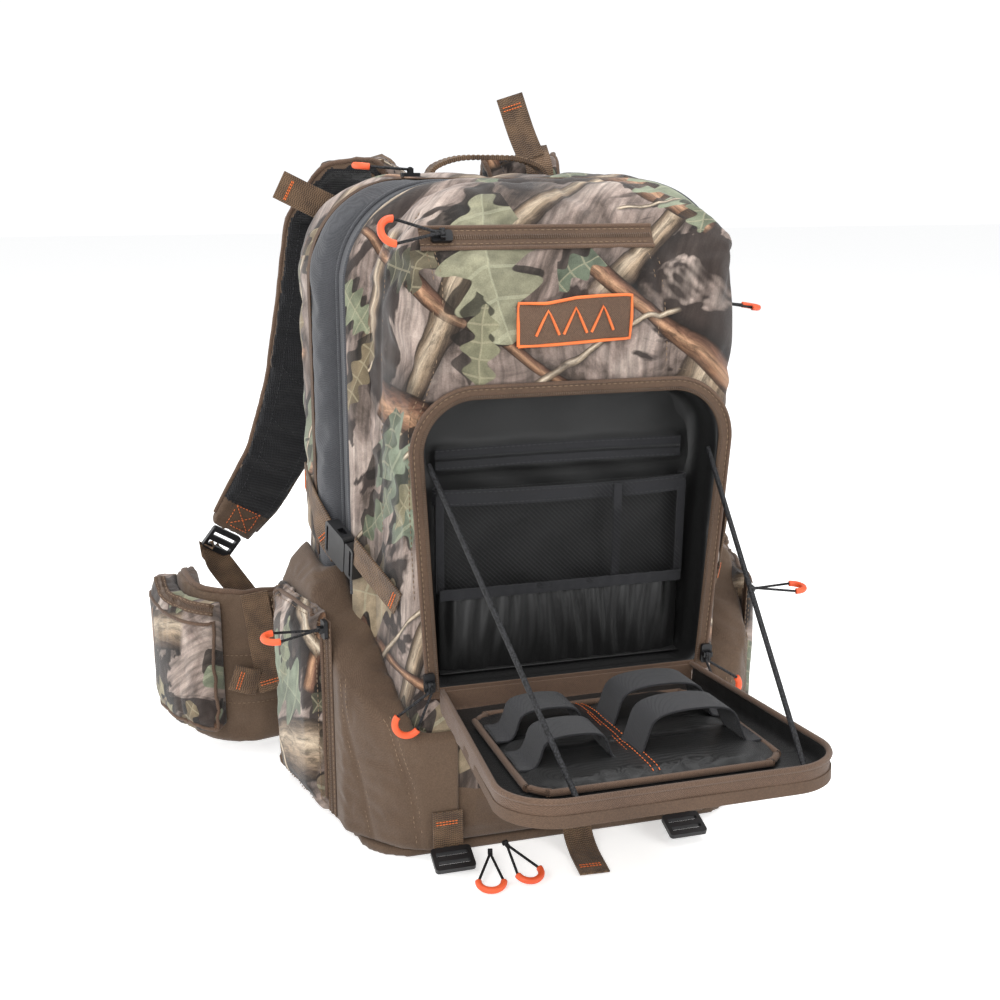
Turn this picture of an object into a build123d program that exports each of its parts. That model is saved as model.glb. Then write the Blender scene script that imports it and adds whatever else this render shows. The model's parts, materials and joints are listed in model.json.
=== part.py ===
from build123d import *
import math
import os

# Hunting backpack, millimetres. X runs to the right seen from the front, Y towards the wearer,
# Z up. The origin is the middle of the flat base. "left" is the side at -X.

os.makedirs("parts", exist_ok=True)

# Bag body: base, then main compartment, gusset and front compartment from back to front
base_thickness = 8
base_half_width = 172
base_margin = 3
base_corner = 45
bag_height = 532
main_half_width = 178
main_depth = 107
main_corner = 80
main_edge_round = 18
gusset_step = 18
gusset_depth = 36
front_depth = 92
front_back_step = 32
front_face_step = 50
front_top_corner = 92
front_straight_side = 17
front_corner = 22
wall = 3
split_y = 8

# Sloped strip of the front compartment that carries the top zip
slope_low_drop = 58
slope_high_drop = 16
slope_set_back = 28
crown_drop = 1
crown_set_back = 58

# Organizer opening in the front face, its pockets and the drop-down flap
opening_low_z = 147
opening_height = 231
opening_low_half = 110
opening_high_half = 121
opening_corner = 40
recess_depth = 40
lining_thickness = 2
sleeve_wall = 1.6
mesh_pocket_depth = 13
mesh_welt_gap = 13
gathered_pocket_depth = 18
gathered_pocket_height = 72
sleeve_side_gap = 7
welt_thickness = 3
welt_width = 18
welt_from_top = 53
flap_depth = 18
flap_gap = 1
flap_wall = 3
flap_open_deg = 84
board_half_width = 92
board_from_hinge = 32
board_end_gap = 41
board_thickness = 5
loop_band_width = 36
loop_low_rise = 22
loop_high_rise = 30
loop_thickness = 1.6

# Zips
zip_width = 14
zip_thickness = 2
running_gap = 0.3
slider_length = 16
slider_width = 9
slider_height = 3
ear_gap = 5.2
ear_thickness = 1.3
pin_radius = 0.9
pin_clearance = 0.1
pin_height = 2.7
pull_ring_radius = 2.1
pull_ring_width = 4
pull_leg_length = 36
pull_neck = 5.5
pull_arc_radius = 10
pull_tube_radius = 2.7
pull_cord_radius = 1.1
main_zip_y = 44
main_slider_z = 424
main_slider_x = -92
top_zip_length = 176
top_zip_x = -28
top_slider_inset = 14

# Side pockets and the zipped pods on them
pocket_rear_stand = 32
pocket_front_stand = 2
pocket_front_set_back = 40
pocket_height = 207
pocket_front_height = 90
pocket_top_drop = 30
pocket_back_gap = 34
pocket_front_lap = 6
pocket_front_wrap = 36
pocket_wall = 4
pod_thickness = 12
pod_length = 104
pod_top_drop = 31
pod_low_z = 14
pod_zip_gap = 1
pod_margin = 14
pod_pull_swing = 90
flap_pull_lean = 42

# Back panel
back_pad_thickness = 14
back_pad_half_gap = 14
back_pad_width = 108
back_pad_low_z = 158
back_pad_yoke_gap = 10
lumbar_half_width = 104
lumbar_height = 118
lumbar_thickness = 20
sheet_thickness = 2
sheet_half_width = 118
yoke_half_width = 98
yoke_height = 58
yoke_thickness = 4

# Webbing and its hardware
webbing_width = 25
webbing_thickness = 1.8
buckle_length = 34
buckle_thickness = 10
buckle_wall = 3.4
plug_base_length = 14
plug_clearance = 0.4
prong_length = 22
prong_thickness = 4.6
lock_length = 24
lock_thickness = 4
lock_bar = 5.4
belt_webbing_width = 38

# Shoulder straps, hip belt, handle, suspension cords
strap_width = 60
strap_thickness = 13
wing_thickness = 14
wing_low_z = 10
wing_high_z = 164
right_wing_fold_deg = 32
hip_pocket_thickness = 22
hip_pocket_low_z = 30
hip_pocket_high_z = 154
handle_x = -12
handle_half_span = 52
handle_rise = 14
handle_width = 22
handle_thickness = 4
handle_stand = 1
cord_radius = 2
cord_end_left = 68
cord_end_right = 92
cord_top_drop = 49
shoulder_drop = 26
hip_inset = 26
buckle_rise = 21

back_y = split_y + main_depth
gusset_half_width = main_half_width - gusset_step
front_back_half_width = main_half_width - front_back_step
front_face_half_width = main_half_width - front_face_step
slope_low_z = bag_height - slope_low_drop
slope_high_z = bag_height - slope_high_drop
crown_z = bag_height - crown_drop
pocket_rear_half = main_half_width + pocket_rear_stand
pocket_front_half = main_half_width + pocket_front_stand
pod_height = pocket_height - pod_top_drop
board_length = opening_height - board_from_hinge - board_end_gap
cord_top_rise = opening_height - cord_top_drop
yoke_top = bag_height - main_edge_round - 18
shoulder_z = bag_height - shoulder_drop
hip_x = main_half_width - hip_inset
buckle_z = base_thickness + pocket_height + buckle_rise
gusset_y = split_y - gusset_depth
front_y = gusset_y - front_depth
slope_deg = math.degrees(math.atan2(slope_set_back, slope_high_z - slope_low_z))
opening_high_z = opening_low_z + opening_height
recess_back_y = front_y + recess_depth
lining_front_y = recess_back_y - lining_thickness
hinge_y = front_y - flap_gap
main_zip_low_z = base_thickness + pocket_height + running_gap
slider_base = zip_thickness + running_gap
pivot_off = slider_base + slider_height + pin_height
big = 2000

parts = {}


def unit(v):
    v = Vector(*v)
    return v / v.length


def mirrored(shape):
    return mirror(shape, about=Plane.YZ)


def block(x0, x1, y0, y1, z0, z1):
    """A box from its corner coordinates."""
    place = Pos((x0 + x1) / 2, (y0 + y1) / 2, (z0 + z1) / 2)
    return place * Box(x1 - x0, y1 - y0, z1 - z0)


def rounded_block(x0, x1, y0, y1, z0, z1, radius):
    made = block(x0, x1, y0, y1, z0, z1)
    return fillet(made.edges(), radius)


def prism_x(face):
    """Extrudes a face drawn in Y and Z far to both sides."""
    return Pos(-big / 2, 0, 0) * extrude(face, big, dir=(1, 0, 0))


def prism_y(face, y0, y1):
    """Extrudes a face drawn in X and Z from y0 to y1."""
    return Pos(0, y1, 0) * extrude(face, y1 - y0, dir=(0, -1, 0))


def prism_z(face, z0, z1):
    """Extrudes a face drawn in X and Y from z0 to z1."""
    return Pos(0, 0, z0) * extrude(face, z1 - z0, dir=(0, 0, 1))


def band(points, across, width, thickness):
    """A strap through points, one rectangle at each, its width along the across directions."""
    sections = []
    for i, p in enumerate(points):
        before, after = points[max(i - 1, 0)], points[min(i + 1, len(points) - 1)]
        t = (Vector(*after) - Vector(*before)).normalized()
        w = Vector(*across[i]) if isinstance(across, list) else Vector(*across)
        w = (w - t * w.dot(t)).normalized()
        wide = width[i] if isinstance(width, list) else width
        sections.append(Plane(origin=p, x_dir=w, z_dir=t) * Rectangle(wide, thickness))
    return loft(sections, ruled=True)


def rod(start, end, radius):
    """A round bar between two points."""
    line = Vector(*end) - Vector(*start)
    return Plane(origin=start, z_dir=line.normalized()) * Cylinder(
        radius, line.length, align=(Align.CENTER, Align.CENTER, Align.MIN)
    )


def compartment_outline(half, low, high, corner, low_corner=25):
    face = Plane.XZ * Pos(0, (low + high) / 2) * Rectangle(2 * half, high - low)
    levels = face.vertices().group_by(Axis.Z)
    face = fillet(levels[-1], corner)
    return fillet(face.vertices().group_by(Axis.Z)[0], low_corner)


def main_solid(inset):
    outline = compartment_outline(
        main_half_width - inset, base_thickness + inset, bag_height - inset, main_corner - inset
    )
    made = prism_y(outline, split_y + inset, back_y - inset)
    ends = made.faces().sort_by(Axis.Y)
    return fillet(ends[0].edges() + ends[-1].edges(), main_edge_round - inset)


def front_solid(inset):
    side_y = gusset_y - front_straight_side
    half = [
        (0, gusset_y),
        (front_back_half_width, gusset_y),
        (front_back_half_width, side_y),
        (front_face_half_width, front_y),
        (0, front_y),
    ]
    plan = make_face(Polyline(*half, *[(-x, y) for x, y in reversed(half[1:-1])], close=True))
    plan = fillet(plan.vertices().group_by(Axis.Y)[0], front_corner)
    side = make_face(
        Plane.YZ
        * Polyline(
            (gusset_y, base_thickness),
            (front_y, base_thickness),
            (front_y, slope_low_z),
            (front_y + slope_set_back, slope_high_z),
            (front_y + crown_set_back, crown_z),
            (gusset_y, crown_z),
            close=True,
        )
    )
    if inset:
        plan = offset(plan, -inset, kind=Kind.INTERSECTION)
        side = offset(side, -inset, kind=Kind.INTERSECTION)
    outline = compartment_outline(
        front_back_half_width - inset,
        base_thickness + inset,
        crown_z - inset,
        front_top_corner - inset,
    )
    return prism_z(plan, 0, bag_height) & prism_x(side) & prism_y(outline, front_y, gusset_y)


def opening_outline(grow=0):
    face = make_face(
        Plane.XZ
        * Polyline(
            (-opening_low_half, opening_low_z),
            (opening_low_half, opening_low_z),
            (opening_high_half, opening_high_z),
            (-opening_high_half, opening_high_z),
            close=True,
        )
    )
    face = fillet(face.vertices().group_by(Axis.Z)[-1], opening_corner)
    return offset(face, grow, kind=Kind.INTERSECTION) if grow else face


def bag_body():
    parts["main_compartment"] = main_solid(0) - main_solid(wall)
    outline = compartment_outline(gusset_half_width, base_thickness, bag_height - 1, main_corner)
    inner = compartment_outline(
        gusset_half_width - wall, base_thickness + wall, bag_height - 1 - wall, main_corner - wall
    )
    parts["gusset"] = prism_y(outline, gusset_y, split_y) - prism_y(inner, gusset_y, split_y)
    recess = prism_y(opening_outline(), front_y - 1, recess_back_y)
    grown = prism_y(opening_outline(wall), front_y - 1, recess_back_y + wall)
    parts["front_compartment"] = front_solid(0) - recess - (front_solid(wall) - grown)
    plate = block(
        -base_half_width,
        base_half_width,
        front_y + base_margin,
        back_y - base_margin,
        0,
        base_thickness,
    )
    parts["base_panel"] = fillet(plate.edges().filter_by(Axis.Z), base_corner)


def back_panel():
    left_pad = rounded_block(
        -back_pad_half_gap - back_pad_width,
        -back_pad_half_gap,
        back_y,
        back_y + back_pad_thickness,
        back_pad_low_z,
        yoke_top - yoke_height - back_pad_yoke_gap,
        6,
    )
    lumbar = rounded_block(
        -lumbar_half_width,
        lumbar_half_width,
        back_y,
        back_y + lumbar_thickness,
        base_thickness + 14,
        base_thickness + 14 + lumbar_height,
        8,
    )
    parts["back_pad"] = Compound(children=[left_pad, mirrored(left_pad), lumbar])
    sheet_y = back_y - wall
    parts["frame_sheet"] = block(
        -sheet_half_width,
        sheet_half_width,
        sheet_y - sheet_thickness,
        sheet_y,
        base_thickness + main_edge_round,
        bag_height - 2 * main_edge_round,
    )
    yoke = block(
        -yoke_half_width,
        yoke_half_width,
        back_y,
        back_y + yoke_thickness,
        yoke_top - yoke_height,
        yoke_top,
    )
    parts["shoulder_yoke"] = fillet(yoke.edges().filter_by(Axis.Y), 12)


def zip_bands():
    outer = compartment_outline(
        main_half_width + zip_thickness,
        base_thickness,
        bag_height + zip_thickness,
        main_corner + zip_thickness,
    )
    inner = compartment_outline(main_half_width, base_thickness, bag_height, main_corner)
    y0, y1 = main_zip_y - zip_width / 2, main_zip_y + zip_width / 2
    ring = prism_y(outer, y0, y1) - prism_y(inner, y0, y1)
    ring -= block(-big, big, y0 - 1, y1 + 1, -1, main_zip_low_z)
    frame = prism_y(opening_outline(zip_width), front_y - zip_thickness, front_y)
    frame -= prism_y(opening_outline(), front_y - zip_thickness - 1, front_y + 1)
    parts["organizer_zip"] = frame - block(-big, big, -big, big, 0, opening_low_z)
    top = slope_place(top_zip_x, 0) * block(
        -top_zip_length / 2, top_zip_length / 2, -zip_thickness, 0, -zip_width / 2, zip_width / 2
    )
    parts["body_zips"] = Compound(children=[ring, top])


def slope_place(x, out):
    """A place on the middle of the sloped strip: local -Y points out of the bag."""
    mid_y, mid_z = front_y + slope_set_back / 2, (slope_low_z + slope_high_z) / 2
    return Pos(x, mid_y, mid_z) * Rot(-slope_deg, 0, 0) * Pos(0, -out, 0)


def organizer():
    back_face = opening_outline(-0.2)
    half = opening_low_half - sleeve_side_gap
    low = opening_low_z + 3
    mesh_low = low + gathered_pocket_height - 4
    mesh_low_y = lining_front_y - mesh_pocket_depth
    welt_z = opening_high_z - welt_from_top
    mesh_top = welt_z - welt_width / 2 - mesh_welt_gap
    mesh_box = block(-half, half, mesh_low_y, lining_front_y, mesh_low, mesh_top)
    mesh_hole = block(
        -half + sleeve_wall,
        half - sleeve_wall,
        mesh_low_y + sleeve_wall,
        lining_front_y,
        mesh_low + sleeve_wall,
        big,
    )
    parts["mesh_pocket"] = mesh_box - mesh_hole
    low_y = lining_front_y - gathered_pocket_depth
    gathered = block(-half, half, low_y, lining_front_y, low, mesh_low)
    gathered += block(-half, half, low_y, mesh_low_y - 1, mesh_low, low + gathered_pocket_height)
    gathered -= block(
        -half + sleeve_wall,
        half - sleeve_wall,
        low_y + sleeve_wall,
        lining_front_y,
        low + sleeve_wall,
        mesh_low - 1,
    )
    gathered -= block(
        -half + sleeve_wall,
        half - sleeve_wall,
        low_y + sleeve_wall,
        mesh_low_y - 1,
        mesh_low - 2,
        big,
    )
    parts["gathered_pocket"] = gathered
    welt = block(
        -half,
        half,
        lining_front_y - welt_thickness,
        lining_front_y,
        welt_z - welt_width / 2,
        welt_z + welt_width / 2,
    )
    parts["organizer_lining"] = prism_y(back_face, lining_front_y, recess_back_y) + welt


def opened(shape):
    """Turns a piece drawn on the closed flap to where the flap hangs open."""
    return Pos(0, hinge_y, opening_low_z) * Rot(flap_open_deg, 0, 0) * shape


def flap():
    """The flap is drawn closed with its hinge line at the origin, then opened."""
    outline = Pos(0, 0, -opening_low_z) * opening_outline(-flap_gap)
    inner = Pos(0, 0, -opening_low_z) * opening_outline(-flap_gap - flap_wall)
    cut_low = block(-big, big, -big, big, -big, 0.5)
    tray = prism_y(outline, -flap_depth, 0) - cut_low
    hollow = prism_y(inner, -flap_depth + flap_wall, 1)
    hollow += block(
        -opening_low_half + flap_gap + flap_wall,
        opening_low_half - flap_gap - flap_wall,
        -flap_depth + flap_wall,
        1,
        0,
        2 * flap_wall,
    )
    parts["flap_shell"] = opened(tray - hollow)
    teeth = Pos(0, 0, -opening_low_z) * opening_outline(-flap_gap + zip_thickness)
    rim = prism_y(teeth, -flap_depth, -flap_depth + zip_width / 2)
    rim -= prism_y(outline, -flap_depth - 1, 0)
    parts["flap_zip"] = opened(rim - block(-big, big, -big, big, -big, slider_length))
    floor_y = -flap_depth + flap_wall
    board = block(
        -board_half_width,
        board_half_width,
        floor_y,
        floor_y + board_thickness,
        board_from_hinge,
        board_from_hinge + board_length,
    )
    parts["flap_board"] = opened(fillet(board.edges().filter_by(Axis.Y), 22))
    parts["flap_loops"] = opened(Compound(children=loops(floor_y + board_thickness)))


def loops(seat_y):
    """Two elastic bands, each with a small and a large arch standing off the board."""
    made = []
    for along in (52, 52 + loop_band_width + 16):
        z0 = board_from_hinge + along - 20
        for centre, width, height in ((-50, 52, loop_low_rise), (38, 74, loop_high_rise)):
            outer = arch(centre, width, height, seat_y)
            inner = arch(centre, width - 2 * loop_thickness, height - loop_thickness, seat_y - 0.01)
            made.append(prism_z(outer - inner, z0, z0 + loop_band_width))
    return made


def arch(centre, width, height, seat_y):
    face = Pos(centre, seat_y + height / 2) * Rectangle(width, height)
    return fillet(face.vertices().group_by(Axis.Y)[-1], height * 0.6)


def slider():
    """A zip slider on the XY plane, its run along X, with the pull's pin across it."""
    body = Pos(0, 0, slider_base + slider_height / 2) * Box(
        slider_length, slider_width, slider_height
    )
    body = fillet(body.edges().filter_by(Axis.Z), 2)
    top = slider_base + slider_height
    for side in (-1, 1):
        y = side * (ear_gap + ear_thickness) / 2
        body += Pos(0, y, top + pin_height / 2 + 0.5) * Box(4, ear_thickness, pin_height + 1)
    pin = Pos(0, 0, pivot_off) * Rot(90, 0, 0) * Cylinder(pin_radius, ear_gap + ear_thickness)
    return body + pin


def pull(lean=0):
    """A cord pull with a rubber grip: pin hole at the origin, loop along X, leaning in XY."""
    made = Rot(90, 0, 0) * Cylinder(pull_ring_radius, pull_ring_width)
    turn = Pos(pull_neck, 0, 0) * Rot(0, 0, lean) * Pos(-pull_neck, 0, 0)
    for side in (-1, 1):
        tip = (turn * Pos(pull_leg_length, side * pull_arc_radius, 0)).position
        foot_y = side * (pull_ring_width / 2 - pull_cord_radius)
        made += rod((pull_ring_radius - 0.6, foot_y, 0), (pull_neck, foot_y, 0), pull_cord_radius)
        made += Pos(pull_neck, foot_y, 0) * Sphere(pull_cord_radius)
        made += rod((pull_neck, foot_y, 0), tuple(tip), pull_cord_radius)
    grip = Pos(pull_leg_length, 0, 0) * Torus(pull_arc_radius, pull_tube_radius)
    made += turn * (grip & block(pull_leg_length, big, -big, big, -big, big))
    hole = Rot(90, 0, 0) * Cylinder(pin_radius + pin_clearance, pull_ring_width + 1)
    return made - hole


def put_slider(name, place, pull_name, swing, lean=0):
    """Slider and pull at a place whose local Z leaves the bag; swing turns the pull on its pin."""
    parts[name] = place * slider()
    parts[pull_name] = place * Pos(0, 0, pivot_off) * Rot(0, -swing, 0) * pull(lean)


def sliders():
    top = Plane(origin=(main_slider_x, main_zip_y, bag_height), x_dir=(1, 0, 0), z_dir=(0, 0, 1))
    put_slider("main_slider_left", top.location, "main_pull_left", 176)
    right = Plane(
        origin=(main_half_width, main_zip_y, main_slider_z), x_dir=(0, 0, 1), z_dir=(1, 0, 0)
    )
    put_slider("main_slider_right", right.location, "main_pull_right", 98)
    slope_x = top_zip_x - top_zip_length / 2 + top_slider_inset
    put_slider("top_slider", slope_place(slope_x, 0) * Rot(90, 0, 0), "top_pull", 174)
    lean = (opening_high_half - opening_low_half) / opening_height
    for name, sign in (("left", -1), ("right", 1)):
        z = opening_low_z + slider_length / 2 + 1
        x = sign * (opening_low_half + lean * (z - opening_low_z) + zip_width / 2)
        face = Plane(origin=(x, front_y, z), x_dir=(sign * lean, 0, 1), z_dir=(0, -1, 0))
        put_slider(
            "flap_slider_" + name, face.location, "flap_pull_" + name, 176, -sign * flap_pull_lean
        )
    left = pod_place(pod_zip_along(), pod_height - slider_length / 2, 0)
    stand = left * Pos(0, 0, pivot_off) * Rot(0, -pod_pull_swing, 0) * pull()
    for name, flip in (("left", lambda shape: shape), ("right", mirrored)):
        parts["pod_slider_" + name] = flip(left * slider())
        parts["pod_pull_" + name] = flip(stand)


def pod_place(along, up, out):
    """A place on the left pocket's outer wall: local X up, local Z out of the wall."""
    rear = Vector(-pocket_rear_half, back_y - pocket_back_gap - 12, pod_low_z)
    front = Vector(-pocket_front_half, front_y + pocket_front_set_back, pod_low_z)
    run = (front - rear).normalized()
    outward = Vector(0, 0, 1).cross(run) * -1
    origin = rear + run * along + outward * out + Vector(0, 0, up)
    return Plane(origin=origin, x_dir=(0, 0, 1), z_dir=tuple(outward)).location


def pod_zip_along():
    return pod_margin + pod_length + pod_zip_gap + zip_width / 2


def side_pockets():
    rear_y = back_y - pocket_back_gap
    wrap_x = front_face_half_width - pocket_front_wrap
    plan = make_face(
        Polyline(
            (-main_half_width + 20, rear_y),
            (-pocket_rear_half + 12, rear_y),
            (-pocket_rear_half, rear_y - 12),
            (-pocket_front_half, front_y + pocket_front_set_back),
            (-front_face_half_width - 14, front_y + 2),
            (-front_face_half_width + 4, front_y - pocket_front_lap),
            (-wrap_x, front_y - pocket_front_lap),
            (-wrap_x, gusset_y),
            close=True,
        )
    )
    pocket_top = base_thickness + pocket_height
    solid = prism_z(plan, base_thickness, pocket_top)
    ramp = make_face(
        Plane.YZ
        * Polyline(
            (split_y, pocket_top),
            (front_y - 20, base_thickness + pocket_front_height),
            (front_y - 20, pocket_top + 50),
            (split_y, pocket_top + 50),
            close=True,
        )
    )
    solid -= prism_x(ramp)
    drop = make_face(
        Plane.XZ
        * Polyline(
            (-main_half_width - 2, pocket_top),
            (-pocket_rear_half - 1, pocket_top - pocket_top_drop),
            (-pocket_rear_half - 1, pocket_top + 50),
            (-main_half_width - 2, pocket_top + 50),
            close=True,
        )
    )
    solid -= prism_y(drop, front_y - 20, back_y)
    core = main_solid(0) + front_solid(0)
    gusset_face = compartment_outline(gusset_half_width, base_thickness, bag_height, main_corner)
    core += prism_y(gusset_face, gusset_y, split_y)
    solid -= core
    inside = offset(plan, -pocket_wall, kind=Kind.INTERSECTION)
    hollow = prism_z(inside, base_thickness + pocket_wall, pocket_top - pocket_wall)
    hollow -= prism_x(Pos(0, 0, -pocket_wall) * ramp)
    hollow -= prism_y(Pos(0, 0, -pocket_wall) * drop, front_y - 20, back_y)
    clear = main_half_width + pocket_wall
    hollow &= block(-big, -clear, -big, big, -big, big)
    pocket = (solid - hollow).solids().sort_by(SortBy.VOLUME)[-1]
    parts["side_pocket_left"] = pocket
    parts["side_pocket_right"] = mirrored(pocket)
    pod = Box(pod_height, pod_length, pod_thickness)
    pod = fillet(pod.faces().sort_by(Axis.Z)[-1].edges(), 9)
    pod -= Box(pod_height - 16, pod_length - 16, pod_thickness - 5)
    middle = pod_margin + pod_length / 2
    pod = pod_place(middle, pod_height / 2, pod_thickness / 2) * pod
    parts["side_pod_left"] = pod
    parts["side_pod_right"] = mirrored(pod)
    tape = Box(pod_height, zip_width, zip_thickness)
    tape = pod_place(pod_zip_along(), pod_height / 2, zip_thickness / 2) * tape
    parts["pod_zips"] = Compound(children=[tape, mirrored(tape)])


def buckle_socket():
    """Female half of a side-release buckle: its mouth is at the origin and faces +X."""
    width = webbing_width + 8
    made = Pos(-buckle_length / 2, 0, 0) * Box(buckle_length, width, buckle_thickness)
    made = fillet(made.edges().filter_by(Axis.Z), 4)
    inner_w = width - 2 * buckle_wall
    depth = prong_length + 3
    made -= Pos(-depth / 2 + 0.5, 0, 0) * Box(depth + 1, inner_w, prong_thickness + 2 * plug_clearance)
    made -= Pos(-13, 0, 0) * Box(9, width + 2, prong_thickness + 2 * plug_clearance)
    made -= Pos(-buckle_length + 4, 0, 0) * Box(3, webbing_width, buckle_thickness + 2)
    return made


def buckle_plug():
    """Male half, seated in the socket: its base starts just outside the mouth."""
    width = webbing_width + 8
    base_x = plug_clearance + plug_base_length / 2
    made = Pos(base_x, 0, 0) * Box(plug_base_length, width - 2, buckle_thickness - 1)
    made = fillet(made.edges().filter_by(Axis.Z), 3)
    made -= Pos(plug_base_length - 4, 0, 0) * Box(3, webbing_width, buckle_thickness + 2)
    inner_half = width / 2 - buckle_wall - plug_clearance
    for y0, y1, length in (
        (-2, 2, prong_length),
        (inner_half - 4, inner_half, prong_length - 2),
        (-inner_half, -inner_half + 4, prong_length - 2),
    ):
        half = prong_thickness / 2
        made += block(-length, plug_clearance + 1, y0, y1, -half, half)
    return made


def ladder_lock():
    """A flat ladder-lock frame in XY with two slots for webbing that runs along X."""
    made = Box(lock_length, webbing_width + 8, lock_thickness)
    made = fillet(made.edges().filter_by(Axis.Z), 3)
    slot = (lock_length - 3 * lock_bar) / 2
    for side in (-1, 1):
        x = side * (slot + lock_bar) / 2
        made -= Pos(x, 0, 0) * Box(slot, webbing_width + 1, lock_thickness + 2)
    return made


def compression_run():
    """Place of the left compression buckle: local X points to the plug, Z out of the bag."""
    along = unit((0.3, -0.9, -0.3))
    out = Vector(-1, 0, 0)
    out = (out - along * out.dot(along)).normalized()
    origin = (-gusset_half_width - buckle_thickness / 2 + 1, gusset_y - 8, buckle_z)
    return Plane(origin=origin, x_dir=along, z_dir=out)


def at(plane, x, y=0, z=0):
    return tuple(plane.from_local_coords(Vector(x, y, z)))


def front_half_width(y):
    """Half width of the front compartment's slanted side at a given y."""
    share = (y - front_y) / (front_depth - front_straight_side)
    return front_face_half_width + (front_back_half_width - front_face_half_width) * share


def compression_straps():
    run = compression_run()
    socket, plug = run.location * buckle_socket(), run.location * buckle_plug()
    parts["buckle_plug_left"] = plug
    parts["buckle_plug_right"] = mirrored(plug)
    side_x = -main_half_width - zip_thickness - webbing_thickness
    rear = band(
        [
            (side_x, back_y - 18, buckle_z + 36),
            (side_x - 0.5, split_y + 26, buckle_z + 25),
            at(run, -buckle_length - 8),
            at(run, -buckle_length - 0.6),
        ],
        (0, 0.27, 0.95),
        webbing_width,
        webbing_thickness,
    )
    fore_y = front_y + 22
    fore = band(
        [
            at(run, plug_base_length + 1),
            at(run, plug_base_length + 8),
            (-front_half_width(fore_y) - 3.2, fore_y, buckle_z - 22),
        ],
        (0, -0.27, 0.95),
        webbing_width,
        webbing_thickness,
    )
    parts["buckle_webbing_left"] = fore
    parts["buckle_webbing_right"] = mirrored(fore)
    return [rear, mirrored(rear)], [socket, mirrored(socket)]


def strap_paths():
    """Centre line of each shoulder strap, its width directions and widths, top to bottom."""
    left = [
        (-62, back_y + 17, shoulder_z - 54),
        (-74, back_y + 21, shoulder_z),
        (-98, back_y + 29, shoulder_z + 32),
        (-134, back_y + 40, shoulder_z + 26),
        (-158, back_y + 50, shoulder_z - 14),
        (-164, back_y + 56, shoulder_z - 86),
        (-176, back_y + 62, 340),
        (-196, back_y + 68, 272),
        (-222, back_y + 72, 228),
        (-246, back_y + 74, 196),
    ]
    left_across = [
        (1, 0, 0),
        (1, 0.1, -0.3),
        (0.75, 0.5, -0.4),
        (0.6, 0.7, -0.2),
        (0.9, 0.5, 0.3),
        (1, 0.3, 0.1),
        (1, 0.15, 0.1),
        (1, 0.1, 0.3),
        (1, 0.1, 0.5),
        (1, 0.1, 0.6),
    ]
    right = [
        (44, back_y + 17, shoulder_z - 46),
        (38, back_y + 22, shoulder_z + 10),
        (34, back_y + 35, shoulder_z + 39),
        (40, back_y + 60, shoulder_z + 34),
        (62, back_y + 82, shoulder_z - 26),
        (94, back_y + 92, shoulder_z - 106),
        (122, back_y + 94, 320),
        (146, back_y + 90, 248),
        (162, back_y + 84, 196),
    ]
    right_across = [(1, 0, 0)] * 4 + [(1, 0.1, 0.3)] * 5
    left_widths = [46, 54, 62] + [strap_width] * 5 + [58, 46]
    right_widths = [50, 60, 72, 72] + [strap_width] * 3 + [56, 46]
    return {
        "left": (left, left_across, left_widths),
        "right": (right, right_across, right_widths),
    }


def low_anchor(sign):
    return (sign * 132, back_y + 34, 40)


def shoulder_straps():
    for name, (path, across, widths) in strap_paths().items():
        sign = -1 if name == "left" else 1
        parts["shoulder_strap_" + name] = band(path, across, widths, strap_thickness)
        end, before = Vector(*path[-1]), Vector(*path[-2])
        along = (end - before).normalized()
        w = Vector(*across[-1])
        w = (w - along * w.dot(along)).normalized()
        place = Plane(
            origin=end + along * (lock_length / 2 + 1), x_dir=along, z_dir=along.cross(w)
        )
        parts["strap_lock_" + name] = place.location * ladder_lock()
        start = end + along * (lock_length + 2)
        anchor = Vector(*low_anchor(sign))
        middle = start * 0.5 + anchor * 0.5 + Vector(sign * 6, 12, -22)
        points = [start, start + along * 5, middle, anchor]
        parts["strap_webbing_" + name] = band(
            [tuple(point) for point in points],
            [tuple(w), tuple(w), (0.9, 0.3 * sign, 0.3), (0.9, 0.2, 0.2)],
            webbing_width,
            webbing_thickness,
        )


def load_lifters():
    """Webbing from the bag's top back edge to each strap's crest, with its free tail."""
    strips = [
        [(-100, 1.6, -7), (-101, 1.6, 5), (-102, 1.6, 18)],
        [(-138, 2, -7), (-164, 4, 6), (-192, 6, 20)],
        [(46, 3, 14), (44, 6, 34), (42, 18, 52)],
        [(38, 10, 42), (30, 17, 64), (20, 23, 96)],
    ]
    across = [(1, 0, 0.2), (-0.45, 0, 0.9), (1, 0, 0.2), (1, 0, 0.35)]
    made = []
    for points, wide in zip(strips, across):
        placed = [(x, back_y + y, shoulder_z + z) for x, y, z in points]
        made.append(band(placed, wide, webbing_width, webbing_thickness))
    parts["lifter_webbing"] = Compound(children=made)


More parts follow.
